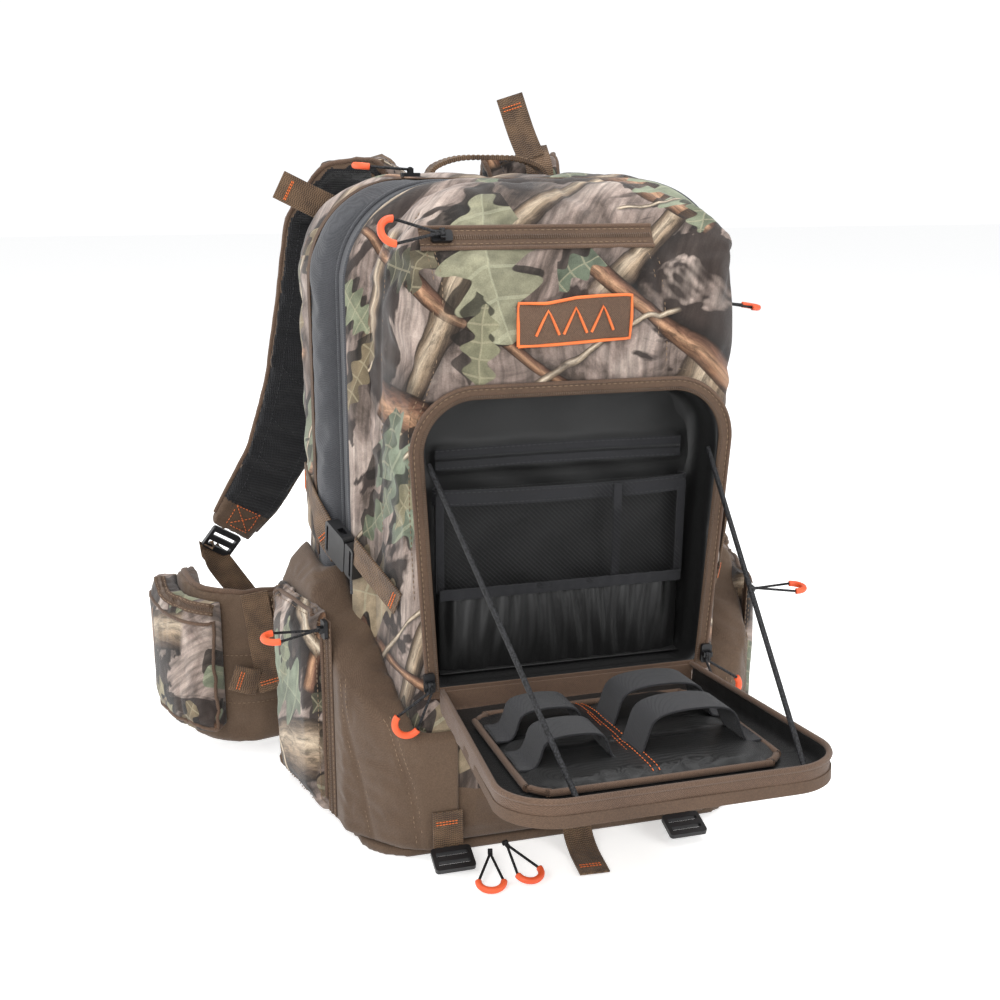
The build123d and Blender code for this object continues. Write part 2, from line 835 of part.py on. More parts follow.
def hip_belt():
    hinge = (-hip_x, back_y + 9)
    path = [
        hinge,
        (-hip_x - 36, back_y + 8),
        (-hip_x - 68, back_y - 3),
        (-hip_x - 100, back_y - 3),
        (-hip_x - 129, back_y + 21),
        (-hip_x - 139, back_y + 70),
        (-hip_x - 130, back_y + 122),
    ]
    wing = prism_z(trace(Spline(*path), wing_thickness), wing_low_z, wing_high_z)
    taper = make_face(
        Plane.YZ
        * Polyline(
            (back_y - 60, wing_low_z),
            (back_y + 20, wing_low_z),
            (back_y + 150, wing_low_z + 44),
            (back_y + 150, wing_high_z - 30),
            (back_y + 60, wing_high_z),
            (back_y - 60, wing_high_z - 8),
            close=True,
        )
    )
    wing = wing & prism_x(taper)
    shift = (wing_thickness + hip_pocket_thickness) / 2 - 1
    pocket_path = [
        (path[3][0] - 14, path[3][1] - shift + 3),
        (path[4][0] - shift * 0.7, path[4][1] - shift * 0.7),
        (path[5][0] - shift, path[5][1] - 14),
        (path[5][0] - shift + 1, path[5][1] + 18),
    ]
    pouch = trace(Spline(*pocket_path), hip_pocket_thickness)
    pouch = prism_z(pouch, hip_pocket_low_z, hip_pocket_high_z)
    pouch = (pouch - wing).solids().sort_by(SortBy.VOLUME)[-1]
    end = Vector(path[-1][0], path[-1][1], (wing_low_z + wing_high_z) / 2)
    tip_points = [
        tuple(end + Vector(2, 3, 0)),
        tuple(end + Vector(12, 22, -4)),
        tuple(end + Vector(32, 42, -12)),
        tuple(end + Vector(56, 52, -20)),
    ]
    tip = band(tip_points, (0, 0, 1), belt_webbing_width - 10, webbing_thickness)
    face_y = path[2][1] - wing_thickness / 2 - 6
    upright = band(
        [(-hip_x - 80, face_y, 162), (-hip_x - 74, face_y - 1, 120), (-hip_x - 68, face_y - 2, 76)],
        (1, 0, 0.15),
        webbing_width,
        webbing_thickness,
    )
    tail = band(
        [(-hip_x - 80, face_y - 6, 76), (-hip_x - 90, face_y - 6, 79), (-hip_x - 100, face_y - 6, 82)],
        (0.2, 0, 1),
        webbing_width,
        webbing_thickness,
    )
    adjuster = Plane(
        origin=(-hip_x - 67, face_y - 6, 56), x_dir=(0.82, 0, -0.57), z_dir=(0, -1, 0)
    ).location * ladder_lock()
    last, before = Vector(*tip_points[-1]), Vector(*tip_points[-2])
    along = (last - before).normalized()
    out = along.cross(Vector(0, 0, 1)).normalized()
    socket_place = Plane(origin=last + along * (buckle_length + 0.6), x_dir=along, z_dir=out)
    plug_place = Plane(
        origin=last + along * (plug_base_length + plug_clearance + 0.8), x_dir=-along, z_dir=out
    )
    turn = Pos(-hinge[0], hinge[1], 0) * Rot(0, 0, right_wing_fold_deg) * Pos(hinge[0], -hinge[1], 0)
    for name, flip in (("left", lambda shape: shape), ("right", lambda shape: turn * mirrored(shape))):
        parts["hip_wing_" + name] = flip(wing)
        parts["hip_pocket_" + name] = flip(pouch)
        parts["hip_webbing_" + name] = flip(Compound(children=[tip, upright, tail]))
    buckle_left = Compound(children=[socket_place.location * buckle_socket(), adjuster])
    buckle_right = Compound(children=[plug_place.location * buckle_plug(), adjuster])
    parts["hip_buckle_left"] = buckle_left
    parts["hip_buckle_right"] = turn * mirrored(buckle_right)


def handle():
    """A webbing loop that stands up from the top of the bag behind the zip."""
    y = back_y - 16
    low = bag_height + handle_thickness / 2 + handle_stand
    half = [
        (handle_half_span, low),
        (handle_half_span - 9, low + handle_rise * 0.6),
        (handle_half_span * 0.5, low + handle_rise * 0.95),
    ]
    points = [(handle_x - x, y, z) for x, z in half] + [(handle_x, y, low + handle_rise)]
    points += [(handle_x + x, y, z) for x, z in reversed(half)]
    parts["haul_handle"] = band(points, (0, 1, 0), handle_width, handle_thickness)


def base_hardware(strips, buckles):
    """Tabs and locks that hang from the front of the base, and the loose webbing tail."""
    face_y = front_y - pocket_front_lap
    for x in (-104, 96):
        place = Pos(x, face_y - 19, 11) * Rot(0, 0, 90) * Rot(0, -14, 0)
        buckles.append(place * ladder_lock())
        tab = [(x, face_y - 1.4, 44), (x, face_y - 1.6, 26), (x, face_y - 3, 15)]
        strips.append(band(tab, (1, 0, 0), webbing_width, webbing_thickness))
    parts["pack_buckles"] = Compound(children=buckles)
    tail = [
        (6, front_y - 1.4, 96),
        (6, front_y - 3, 40),
        (6, front_y - 9, 14),
        (6, front_y - 26, 2.2),
        (4, front_y - 60, 1.4),
    ]
    strips.append(band(tail, (1, 0, 0), webbing_width, webbing_thickness))
    parts["body_webbing"] = Compound(children=strips)
    lie = Pos(-72, face_y - 14, 10) * Rot(0, 0, -104) * Rot(0, 8, 0)
    second = Pos(-60, face_y - 16, 17) * Rot(0, 0, -74) * Rot(0, 12, 0)
    parts["base_pulls"] = Compound(children=[lie * pull(), second * pull()])


def suspension_cords():
    """Cords from the opening's upper sides to the free end of the open flap."""
    floor = opened(Pos(0, -flap_depth + flap_wall + cord_radius, opening_height * 0.93))
    low = floor.position
    for name, sign, end_x in (("left", -1, -cord_end_left), ("right", 1, cord_end_right)):
        top = (sign * (opening_high_half - 5), front_y + 6, opening_low_z + cord_top_rise)
        end = (end_x, low.Y, low.Z + 2.5)
        parts["flap_cord_" + name] = rod(top, end, cord_radius)


bag_body()
back_panel()
zip_bands()
organizer()
flap()
side_pockets()
sliders()
body_strips, body_buckles = compression_straps()
shoulder_straps()
load_lifters()
hip_belt()
handle()
base_hardware(body_strips, body_buckles)
suspension_cords()

for name, shape in parts.items():
    export_step(shape, f"parts/{name}.step")
print(len(parts), "nodes")
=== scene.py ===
import json
import math

import bpy
import numpy as np
from mathutils import Matrix, Vector
from mathutils.bvhtree import BVHTree

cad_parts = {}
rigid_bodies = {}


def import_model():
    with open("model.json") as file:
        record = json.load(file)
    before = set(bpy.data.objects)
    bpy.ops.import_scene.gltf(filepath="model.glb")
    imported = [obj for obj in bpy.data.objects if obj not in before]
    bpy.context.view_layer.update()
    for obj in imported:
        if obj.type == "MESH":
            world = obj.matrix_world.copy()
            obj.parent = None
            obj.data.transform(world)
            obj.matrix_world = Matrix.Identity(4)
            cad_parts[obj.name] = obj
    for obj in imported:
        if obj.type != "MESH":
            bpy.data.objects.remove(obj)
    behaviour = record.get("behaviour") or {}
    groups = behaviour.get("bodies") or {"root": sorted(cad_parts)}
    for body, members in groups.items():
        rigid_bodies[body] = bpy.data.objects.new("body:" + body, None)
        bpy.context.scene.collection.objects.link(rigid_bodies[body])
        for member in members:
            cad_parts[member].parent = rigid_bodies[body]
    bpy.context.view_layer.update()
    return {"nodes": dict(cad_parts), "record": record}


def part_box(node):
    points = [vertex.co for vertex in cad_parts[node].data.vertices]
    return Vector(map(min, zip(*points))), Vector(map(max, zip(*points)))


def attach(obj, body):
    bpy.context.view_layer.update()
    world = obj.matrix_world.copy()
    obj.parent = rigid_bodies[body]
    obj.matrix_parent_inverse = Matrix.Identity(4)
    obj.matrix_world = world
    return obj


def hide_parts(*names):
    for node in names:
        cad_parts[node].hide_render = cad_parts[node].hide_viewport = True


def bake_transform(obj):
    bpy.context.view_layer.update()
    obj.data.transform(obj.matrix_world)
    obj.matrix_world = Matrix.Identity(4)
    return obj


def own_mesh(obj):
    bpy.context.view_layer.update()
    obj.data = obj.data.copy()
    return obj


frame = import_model()
scene = bpy.context.scene
mm = 0.001
print("frame loaded:", len(frame["nodes"]), "nodes")


# helpers: selection, modifiers, vertex arrays

def only(obj):
    bpy.ops.object.select_all(action="DESELECT")
    obj.select_set(True)
    bpy.context.view_layer.objects.active = obj


def modify(obj, kind, **settings):
    only(obj)
    bpy.ops.object.modifier_add(type=kind)
    added = obj.modifiers[-1]
    for key, value in settings.items():
        setattr(added, key, value)
    bpy.ops.object.modifier_apply(modifier=added.name)


def editAll(obj, *steps):
    only(obj)
    bpy.ops.object.mode_set(mode="EDIT")
    bpy.ops.mesh.select_all(action="SELECT")
    for step in steps:
        step()
    bpy.ops.object.mode_set(mode="OBJECT")


def places(obj):
    co = np.empty(len(obj.data.vertices) * 3, np.float32)
    obj.data.vertices.foreach_get("co", co)
    return co.reshape(-1, 3).astype(float)


def setPlaces(obj, co):
    obj.data.vertices.foreach_set("co", np.asarray(co, np.float32).ravel())
    obj.data.update()


def faceArrays(obj):
    count = len(obj.data.polygons)
    centre, normal = np.empty(count * 3, np.float32), np.empty(count * 3, np.float32)
    obj.data.polygons.foreach_get("center", centre)
    obj.data.polygons.foreach_get("normal", normal)
    return centre.reshape(-1, 3).astype(float), normal.reshape(-1, 3).astype(float)


def vertexNormals(obj):
    out = np.empty(len(obj.data.vertices) * 3, np.float32)
    obj.data.vertex_normals.foreach_get("vector", out)
    return out.reshape(-1, 3).astype(float)


def paint(obj, materials, choice=None):
    obj.data.materials.clear()
    for material in materials:
        obj.data.materials.append(material)
    if choice is None:
        choice = np.zeros(len(obj.data.polygons), int)
    obj.data.polygons.foreach_set("material_index", np.asarray(choice, np.int32))
    obj.data.update()


def soften(obj, angle=40):
    only(obj)
    bpy.ops.object.shade_smooth_by_angle(angle=math.radians(angle))


def join(name, pieces):
    bpy.ops.object.select_all(action="DESELECT")
    for piece in pieces:
        piece.select_set(True)
    bpy.context.view_layer.objects.active = pieces[0]
    if len(pieces) > 1:
        bpy.ops.object.join()
    made = bpy.context.view_layer.objects.active
    made.name = name
    return made


def settle(obj, name, body, nodes=()):
    obj.name = name
    only(obj)
    bpy.ops.object.transform_apply(location=True, rotation=True, scale=True)
    if body is not None:
        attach(obj, body)
    if nodes:
        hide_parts(*nodes)
    return obj


def nodeCopy(node, name, outer=True):
    # a merged copy of a CAD solid's skin; outer keeps each island's outside and drops closed voids
    source = frame["nodes"][node]
    only(source)
    bpy.ops.object.duplicate()
    made = bpy.context.view_layer.objects.active
    made.name = name
    made.data.materials.clear()
    editAll(made, lambda: bpy.ops.mesh.remove_doubles(threshold=0.02 * mm))
    if outer:
        co = places(made)
        only(made)
        bpy.ops.object.mode_set(mode="EDIT")
        bpy.ops.mesh.select_all(action="DESELECT")
        bpy.ops.object.mode_set(mode="OBJECT")
        made.data.vertices[int(co[:, 2].argmax())].select = True
        bpy.ops.object.mode_set(mode="EDIT")
        bpy.ops.mesh.select_linked()
        bpy.ops.mesh.select_all(action="INVERT")
        bpy.ops.mesh.delete(type="VERT")
        bpy.ops.object.mode_set(mode="OBJECT")
    return made


def skinTree(obj):
    mesh = obj.data
    return BVHTree.FromPolygons([v.co for v in mesh.vertices], [list(p.vertices) for p in mesh.polygons])


# helpers: runs, along which straps, zips, piping and stitches are laid

def smoothLine(points, closed=False):
    # Catmull-Rom through the points, fine enough to measure along
    pts = [np.array(p, float) for p in points]
    if len(pts) == 2:
        return np.array([pts[0] + (pts[1] - pts[0]) * t for t in np.linspace(0, 1, 30)])
    if closed:
        pts = [pts[-1]] + pts + [pts[0], pts[1]]
    else:
        pts = [2 * pts[0] - pts[1]] + pts + [2 * pts[-1] - pts[-2]]
    line = []
    for a, b, c, d in zip(pts, pts[1:], pts[2:], pts[3:]):
        for t in np.linspace(0, 1, 24, endpoint=False):
            line.append(0.5 * (2 * b + (c - a) * t + (2 * a - 5 * b + 4 * c - d) * t ** 2
                               + (3 * b - a - 3 * c + d) * t ** 3))
    line.append(pts[-2])
    return np.array(line)


def makeRun(points, across=None, outward=None, smooth=True, closed=False):
    # stations along a line, each with its place, side and outward directions and the length so far
    line = smoothLine(points, closed) if smooth else np.array(points, float)
    gaps = np.linalg.norm(np.diff(line, axis=0), axis=1)
    keep = np.concatenate([[True], gaps > 1e-7])
    line = line[keep]
    gaps = np.linalg.norm(np.diff(line, axis=0), axis=1)
    length = np.concatenate([[0], np.cumsum(gaps)])
    along = np.gradient(line, axis=0)
    along /= np.linalg.norm(along, axis=1)[:, None]
    share = np.linspace(0, 1, len(line))

    def spread(vectors):
        vectors = np.atleast_2d(np.array(vectors, float))
        stops = np.linspace(0, 1, len(vectors))
        if len(vectors) == 1:
            return np.repeat(vectors, len(line), 0)
        if len(vectors) == len(keep):
            return vectors[keep]
        return np.stack([np.interp(share, stops, vectors[:, i]) for i in range(3)], 1)

    if across is not None:
        side = spread(across)
        side -= along * (side * along).sum(1)[:, None]
        side /= np.linalg.norm(side, axis=1)[:, None]
        out = np.cross(along, side)
    else:
        out = spread(outward)
        out -= along * (out * along).sum(1)[:, None]
        out /= np.linalg.norm(out, axis=1)[:, None]
        side = np.cross(out, along)
    return {"s": length, "p": line, "w": side, "n": out, "length": float(length[-1])}


def lay(obj, run, start=0.0):
    # moves a piece drawn flat (x along, y across, z off the surface) onto the run
    co = places(obj)
    at = np.clip(co[:, 0] + start, 0, run["length"])
    put = {k: np.stack([np.interp(at, run["s"], run[k][:, i]) for i in range(3)], 1) for k in "pwn"}
    setPlaces(obj, put["p"] + put["w"] * co[:, 1:2] + put["n"] * co[:, 2:3])


def flatStrip(length, width, thickness, step=4 * mm, rows=6, bevel=0.35 * mm):
    columns = max(2, int(length / step))
    bpy.ops.mesh.primitive_grid_add(x_subdivisions=columns, y_subdivisions=rows, size=1)
    strip = bpy.context.view_layer.objects.active
    co = places(strip)
    co[:, 0] = (co[:, 0] + 0.5) * length
    co[:, 1] *= width
    setPlaces(strip, co)
    uv = strip.data.uv_layers[0].data
    for loop in strip.data.loops:
        uv[loop.index].uv = co[loop.vertex_index, :2]
    modify(strip, "SOLIDIFY", thickness=thickness, offset=0)
    if bevel:
        modify(strip, "BEVEL", width=bevel, segments=1, limit_method="ANGLE")
    return strip


def webbing(points, across, width=25 * mm, thickness=1.8 * mm, smooth=True, rows=6):
    run = makeRun(points, across=across, smooth=smooth)
    strip = flatStrip(run["length"], width, thickness, rows=rows)
    lay(strip, run)
    paint(strip, [finish["brownWebbing"]])
    soften(strip)
    return strip, run


def thread(run, start, end, side=0.0, height=0.3 * mm, dash=3.0 * mm, gap=1.4 * mm, thick=0.8 * mm):
    # a row of stitches: one bead of thread, repeated by an array, then laid on the run
    count = max(1, int((end - start) / (dash + gap)))
    bpy.ops.mesh.primitive_uv_sphere_add(segments=6, ring_count=4, radius=0.5)
    bead = bpy.context.view_layer.objects.active
    co = places(bead)
    co = np.stack([co[:, 2] * dash + start + dash / 2, co[:, 1] * thick + side, co[:, 0] * thick + height],
                  1)
    setPlaces(bead, co)
    if count > 1:
        modify(bead, "ARRAY", count=count, use_relative_offset=False, use_constant_offset=True,
               constant_offset_displace=(dash + gap, 0, 0))
    lay(bead, run)
    return bead


def piping(run, radius, sides=8, lift=0.0):
    # a covered cord sewn along an edge
    columns = max(3, int(run["length"] / (4 * mm)))
    bpy.ops.mesh.primitive_grid_add(x_subdivisions=columns, y_subdivisions=sides, size=1)
    roll = bpy.context.view_layer.objects.active
    co = places(roll)
    turn = co[:, 1] * 2 * math.pi
    uv = roll.data.uv_layers[0].data
    for loop in roll.data.loops:
        x, y = co[loop.vertex_index, :2]
        uv[loop.index].uv = ((x + 0.5) * run["length"], y * 2 * math.pi * radius)
    co = np.stack([(co[:, 0] + 0.5) * run["length"], radius * np.cos(turn), radius * np.sin(turn) + lift],
                  1)
    setPlaces(roll, co)
    lay(roll, run)
    editAll(roll, lambda: bpy.ops.mesh.remove_doubles(threshold=0.01 * mm),
            lambda: bpy.ops.mesh.fill_holes(sides=sides),
            lambda: bpy.ops.mesh.normals_make_consistent(inside=False))
    soften(roll, 70)
    return roll


def onSkin(tree, points, lift=0.0, smooth=True, closed=False):
    # drops a line onto a skin and returns a run whose outward side is the skin's
    line = smoothLine(points, closed) if smooth else np.array(points, float)
    found, normals = [], []
    for p in line:
        hit, normal, _, _ = tree.find_nearest(Vector(p))
        found.append(np.array(hit) + np.array(normal) * lift)
        normals.append(np.array(normal))
    normals = np.array(normals)
    for _ in range(3):
        normals[1:-1] = (normals[:-2] + 2 * normals[1:-1] + normals[2:]) / 4
    return makeRun(np.array(found), outward=normals, smooth=False)


def lineDistance(co, line):
    best = np.full(len(co), 1e9)
    for a, b in zip(line[:-1], line[1:]):
        ab = b - a
        share = np.clip(((co - a) @ ab) / max(ab @ ab, 1e-12), 0, 1)
        best = np.minimum(best, np.linalg.norm(co - a - share[:, None] * ab, axis=1))
    return best


# helpers: soft skins

def swell(obj, held, pressure, cap, slack=0.0, frames=14):
    # cloth under air pressure: held vertices stay, the rest move no further than cap
    before = places(obj)
    group = obj.vertex_groups.new(name="sewn")
    group.add([int(i) for i in np.flatnonzero(held)], 1.0, "REPLACE")
    only(obj)
    bpy.ops.object.modifier_add(type="CLOTH")
    cloth = obj.modifiers[-1]
    cloth.settings.quality = 3
    cloth.settings.mass = 0.15
    cloth.settings.tension_stiffness = 12
    cloth.settings.compression_stiffness = 12
    cloth.settings.shear_stiffness = 4
    cloth.settings.bending_stiffness = 0.3
    cloth.settings.use_pressure = True
    cloth.settings.uniform_pressure_force = pressure
    cloth.settings.vertex_group_mass = "sewn"
    cloth.settings.effector_weights.gravity = 0
    cloth.settings.shrink_min = -slack
    cloth.collision_settings.use_collision = False
    cloth.point_cache.frame_start = 1
    cloth.point_cache.frame_end = frames
    for step in range(1, frames + 1):
        scene.frame_set(step)
    only(obj)
    bpy.ops.object.modifier_apply(modifier=cloth.name)
    scene.frame_set(1)
    shift = places(obj) - before
    size = np.linalg.norm(shift, axis=1)
    shift *= np.minimum(1, cap / np.maximum(size, 1e-9))[:, None]
    setPlaces(obj, before + shift)


def softSkin(node, name, plan, outer=True):
    # CAD solid -> even quads -> rounded edges -> cloth -> one subdivision
    made = nodeCopy(node, name, outer)
    modify(made, "REMESH", mode="VOXEL", voxel_size=plan["voxel"], use_smooth_shade=True)
    modify(made, "SMOOTH", factor=0.5, iterations=plan["rounding"])
    co = places(made)
    held = np.zeros(len(co), bool)
    if "held" in plan:
        held = plan["held"](co)
    for line in plan.get("seams", []):
        held |= lineDistance(co, smoothLine(line)) < plan["voxel"] * 1.3
    if plan.get("pressure"):
        swell(made, held, plan["pressure"], plan["cap"], plan.get("slack", 0))
    if plan.get("subdivide", True):
        modify(made, "SUBSURF", levels=1, render_levels=1)
    folds = plan.get("folds")
    if folds:
        texture = bpy.data.textures.new(name + "Folds", "CLOUDS")
        texture.noise_scale = folds[0]
        free = made.vertex_groups.new(name="free")
        co = places(made)
        fixed = plan["held"](co) if "held" in plan else np.zeros(len(co), bool)
        free.add([int(i) for i in np.flatnonzero(~fixed)], 1.0, "REPLACE")
        modify(made, "DISPLACE", texture=texture, strength=folds[1], mid_level=0.5,
               texture_coords="LOCAL", vertex_group="free")
    made.vertex_groups.clear()
    if plan.get("seams"):
        groove(made, plan["seams"], plan.get("grooveDepth", 1.6 * mm))
    modify(made, "SMOOTH", factor=0.5, iterations=1)
    only(made)
    bpy.ops.object.shade_smooth()
    return made


def groove(obj, lines, depth, reach=6 * mm):
    co, normal = places(obj), vertexNormals(obj)
    for line in lines:
        away = lineDistance(co, smoothLine(line))
        pull = depth * np.clip(1 - away / reach, 0, 1) ** 1.5
        co -= normal * pull[:, None]
    setPlaces(obj, co)


print("helpers ready")


# materials

def toLinear(code):
    # an sRGB hex value as the linear colour that a shader takes
    values = [int(code[i:i + 2], 16) / 255 for i in (1, 3, 5)]
    return tuple(v / 12.92 if v <= 0.04045 else ((v + 0.055) / 1.055) ** 2.4 for v in values) + (1.0,)


def addNode(tree, kind, *values, inputs=None, output=0, stops=None, **settings):
    # values fill the first sockets in order and inputs the named ones, each a socket to link or a value to set;
    # stops are a ramp's places and colours; output is the socket to give back, None the whole node
    node = tree.nodes.new("ShaderNode" + kind)
    for key, value in settings.items():
        setattr(node, key, value)
    for key, value in {**dict(enumerate(values)), **(inputs or {})}.items():
        if isinstance(value, bpy.types.NodeSocket):
            tree.links.new(value, node.inputs[key])
        else:
            node.inputs[key].default_value = value
    if stops:
        ramp = node.color_ramp
        while len(ramp.elements) < len(stops):
            ramp.elements.new(0.5)
        for element, (place, colour) in zip(ramp.elements, stops):
            element.position = place
            element.color = toLinear(colour)
    return node if output is None else node.outputs[output]


def newMaterial(name, roughness=0.7, metallic=0.0, sheen=0.0, specular=0.5):
    material = bpy.data.materials.new(name)
    material.use_nodes = True
    tree = material.node_tree
    shader = tree.nodes["Principled BSDF"]
    shader.inputs["Roughness"].default_value = roughness
    shader.inputs["Metallic"].default_value = metallic
    shader.inputs["Specular IOR Level"].default_value = specular
    if sheen:
        shader.inputs["Sheen Weight"].default_value = sheen
        shader.inputs["Sheen Roughness"].default_value = 0.5
    return material, tree, shader


def wovenBump(tree, point, pitch, depth, extra=None):
    # over-under weave: two crossed sine waves, one thread pitch apart, plus an uneven hand
    x, y, z = (addNode(tree, "SeparateXYZ", point, output=i) for i in range(3))
    slant = addNode(tree, "Math", x, y, operation="ADD")
    wave = 2 * math.pi / pitch
    rows = addNode(tree, "Math", slant, wave, operation="MULTIPLY")
    picks = addNode(tree, "Math", z, wave, operation="MULTIPLY")
    rows = addNode(tree, "Math", rows, operation="SINE")
    picks = addNode(tree, "Math", picks, operation="SINE")
    weave = addNode(tree, "Math", rows, picks, operation="MULTIPLY")
    height = weave
    if extra is not None:
        height = addNode(tree, "Math", weave, extra, operation="ADD")
    bump = addNode(tree, "Bump", inputs={"Strength": 0.7, "Distance": depth, "Height": height})
    return weave, bump


def wovenFabric(name, dark, light, pitch, depth, roughness, sheen=0.0, specular=0.3, mottle=14, crease=0.0):
    # plain woven polyester: thread pitch in metres, a soft mottle from handling, optional fine creases
    material, tree, shader = newMaterial(name, roughness, sheen=sheen, specular=specular)
    point = addNode(tree, "TexCoord", output="Object")
    cloudy = addNode(tree, "TexNoise", inputs={"Vector": point, "Scale": mottle, "Detail": 6.0})
    fuzz = addNode(tree, "TexNoise", inputs={"Vector": point, "Scale": 900.0, "Detail": 2.0})
    extra = None
    if crease:
        folds = addNode(tree, "TexNoise",
                        inputs={"Vector": point, "Scale": 38.0, "Detail": 3.0, "Distortion": 1.4})
        extra = addNode(tree, "Math", folds, crease, operation="MULTIPLY")
    weave, bump = wovenBump(tree, point, pitch, depth, extra)
    # painted highlight: the colour follows the weave's bump, lighter on the thread crests and darker between
    # them; the mottle and fuzz added next are the cloth's own tone
    lit = addNode(tree, "MapRange", weave, -1.0, 1.0, 0.25, 0.75)
    lit = addNode(tree, "Math", lit, cloudy, operation="ADD")
    lit = addNode(tree, "Math", lit, fuzz, operation="ADD")
    colour = addNode(tree, "MapRange", lit, 0.9, 2.1, 0.0, 1.0)
    tone = addNode(tree, "Mix", colour, inputs={6: toLinear(dark), 7: toLinear(light)}, output=2,
                   data_type="RGBA")
    tree.links.new(tone, shader.inputs["Base Color"])
    tree.links.new(bump, shader.inputs["Normal"])
    return material


def limbLayer(tree, point, under, plan):
    # printed branches: long tapering stripes with a lit side, a shaded side and bark grain
    turned = addNode(tree, "Mapping", point,
                     inputs={"Location": plan["shift"], "Rotation": (0, 0, math.radians(plan["angle"]))})
    bend = addNode(tree, "TexNoise", inputs={"Vector": turned, "Scale": plan["bendScale"], "Detail": 2.0},
                   output="Color")
    bent = addNode(tree, "VectorMath", bend, (-0.5, -0.5, -0.5))
    bent = addNode(tree, "VectorMath", bent, inputs={"Scale": plan["bend"]}, operation="SCALE")
    bent = addNode(tree, "VectorMath", turned, bent)
    split = addNode(tree, "SeparateXYZ", bent, output=None)
    across, along = split.outputs[0], split.outputs[1]
    row = addNode(tree, "Math", across, plan["spacing"], operation="DIVIDE")
    number = addNode(tree, "Math", row, operation="FLOOR")
    offset = addNode(tree, "Math", addNode(tree, "Math", addNode(tree, "Math", row, operation="FRACT"), 0.5,
                                           operation="SUBTRACT"), plan["spacing"], operation="MULTIPLY")
    chance = addNode(tree, "TexWhiteNoise", inputs={"W": number}, noise_dimensions="1D")
    taper = addNode(tree, "Math", along, plan["taper"], 0.6, operation="MULTIPLY_ADD")
    taper = addNode(tree, "Math", addNode(tree, "Math", taper, 0.5, operation="PINGPONG"), 0.35,
                    operation="ADD")
    half = addNode(tree, "Math", addNode(tree, "Math", chance, 0.8, 0.5, operation="MULTIPLY_ADD"),
                   plan["half"], operation="MULTIPLY")
    half = addNode(tree, "Math", half, taper, operation="MULTIPLY")
    side = addNode(tree, "Math", offset, half, operation="DIVIDE")
    reach = addNode(tree, "Math", side, operation="ABSOLUTE")
    inside = addNode(tree, "MapRange", reach, 1.04, 0.96, 0.0, 1.0)
    step = addNode(tree, "CombineXYZ", addNode(tree, "Math", number, 3.7, operation="MULTIPLY"),
                   addNode(tree, "Math", along, plan["breaks"], operation="MULTIPLY"))
    shown = addNode(tree, "TexNoise", inputs={"Vector": step, "Scale": 1.0, "Detail": 0.0})
    shown = addNode(tree, "MapRange", shown, plan["rare"], plan["rare"] + 0.02)
    mask = addNode(tree, "Math", inside, shown, operation="MULTIPLY")
    grainPoint = addNode(tree, "Mapping", bent, inputs={"Scale": (1.0, 0.16, 1.0)})
    grain = addNode(tree, "TexNoise",
                    inputs={"Vector": grainPoint, "Scale": plan["grain"], "Detail": 6.0, "Roughness": 0.7,
                            "Distortion": 0.6})
    place = addNode(tree, "Math", side, 0.5, 0.5, operation="MULTIPLY_ADD")
    body = addNode(tree, "ValToRGB", place, stops=plan["colours"])
    fissure = addNode(tree, "MapRange", grain, 0.36, 0.62, 0.34, 1.18)
    body = addNode(tree, "Mix", 1.0, inputs={6: body, 7: fissure}, output=2, data_type="RGBA",
                   blend_type="MULTIPLY")
    shade = addNode(tree, "MapRange", addNode(tree, "Math", side, -0.35, operation="ADD"), 0.6, 1.9, 0.38,
                    1.0)
    cast = addNode(tree, "Math", addNode(tree, "Math", side, 0.0, operation="GREATER_THAN"), shown,
                   operation="MULTIPLY")
    under = addNode(tree, "Mix", cast,
                    inputs={6: under, 7: addNode(tree, "Mix", 1.0, inputs={6: under, 7: shade}, output=2,
                                                 data_type="RGBA", blend_type="MULTIPLY")}, output=2,
                                                 data_type="RGBA")
    return addNode(tree, "Mix", mask, inputs={6: under, 7: body}, output=2, data_type="RGBA")


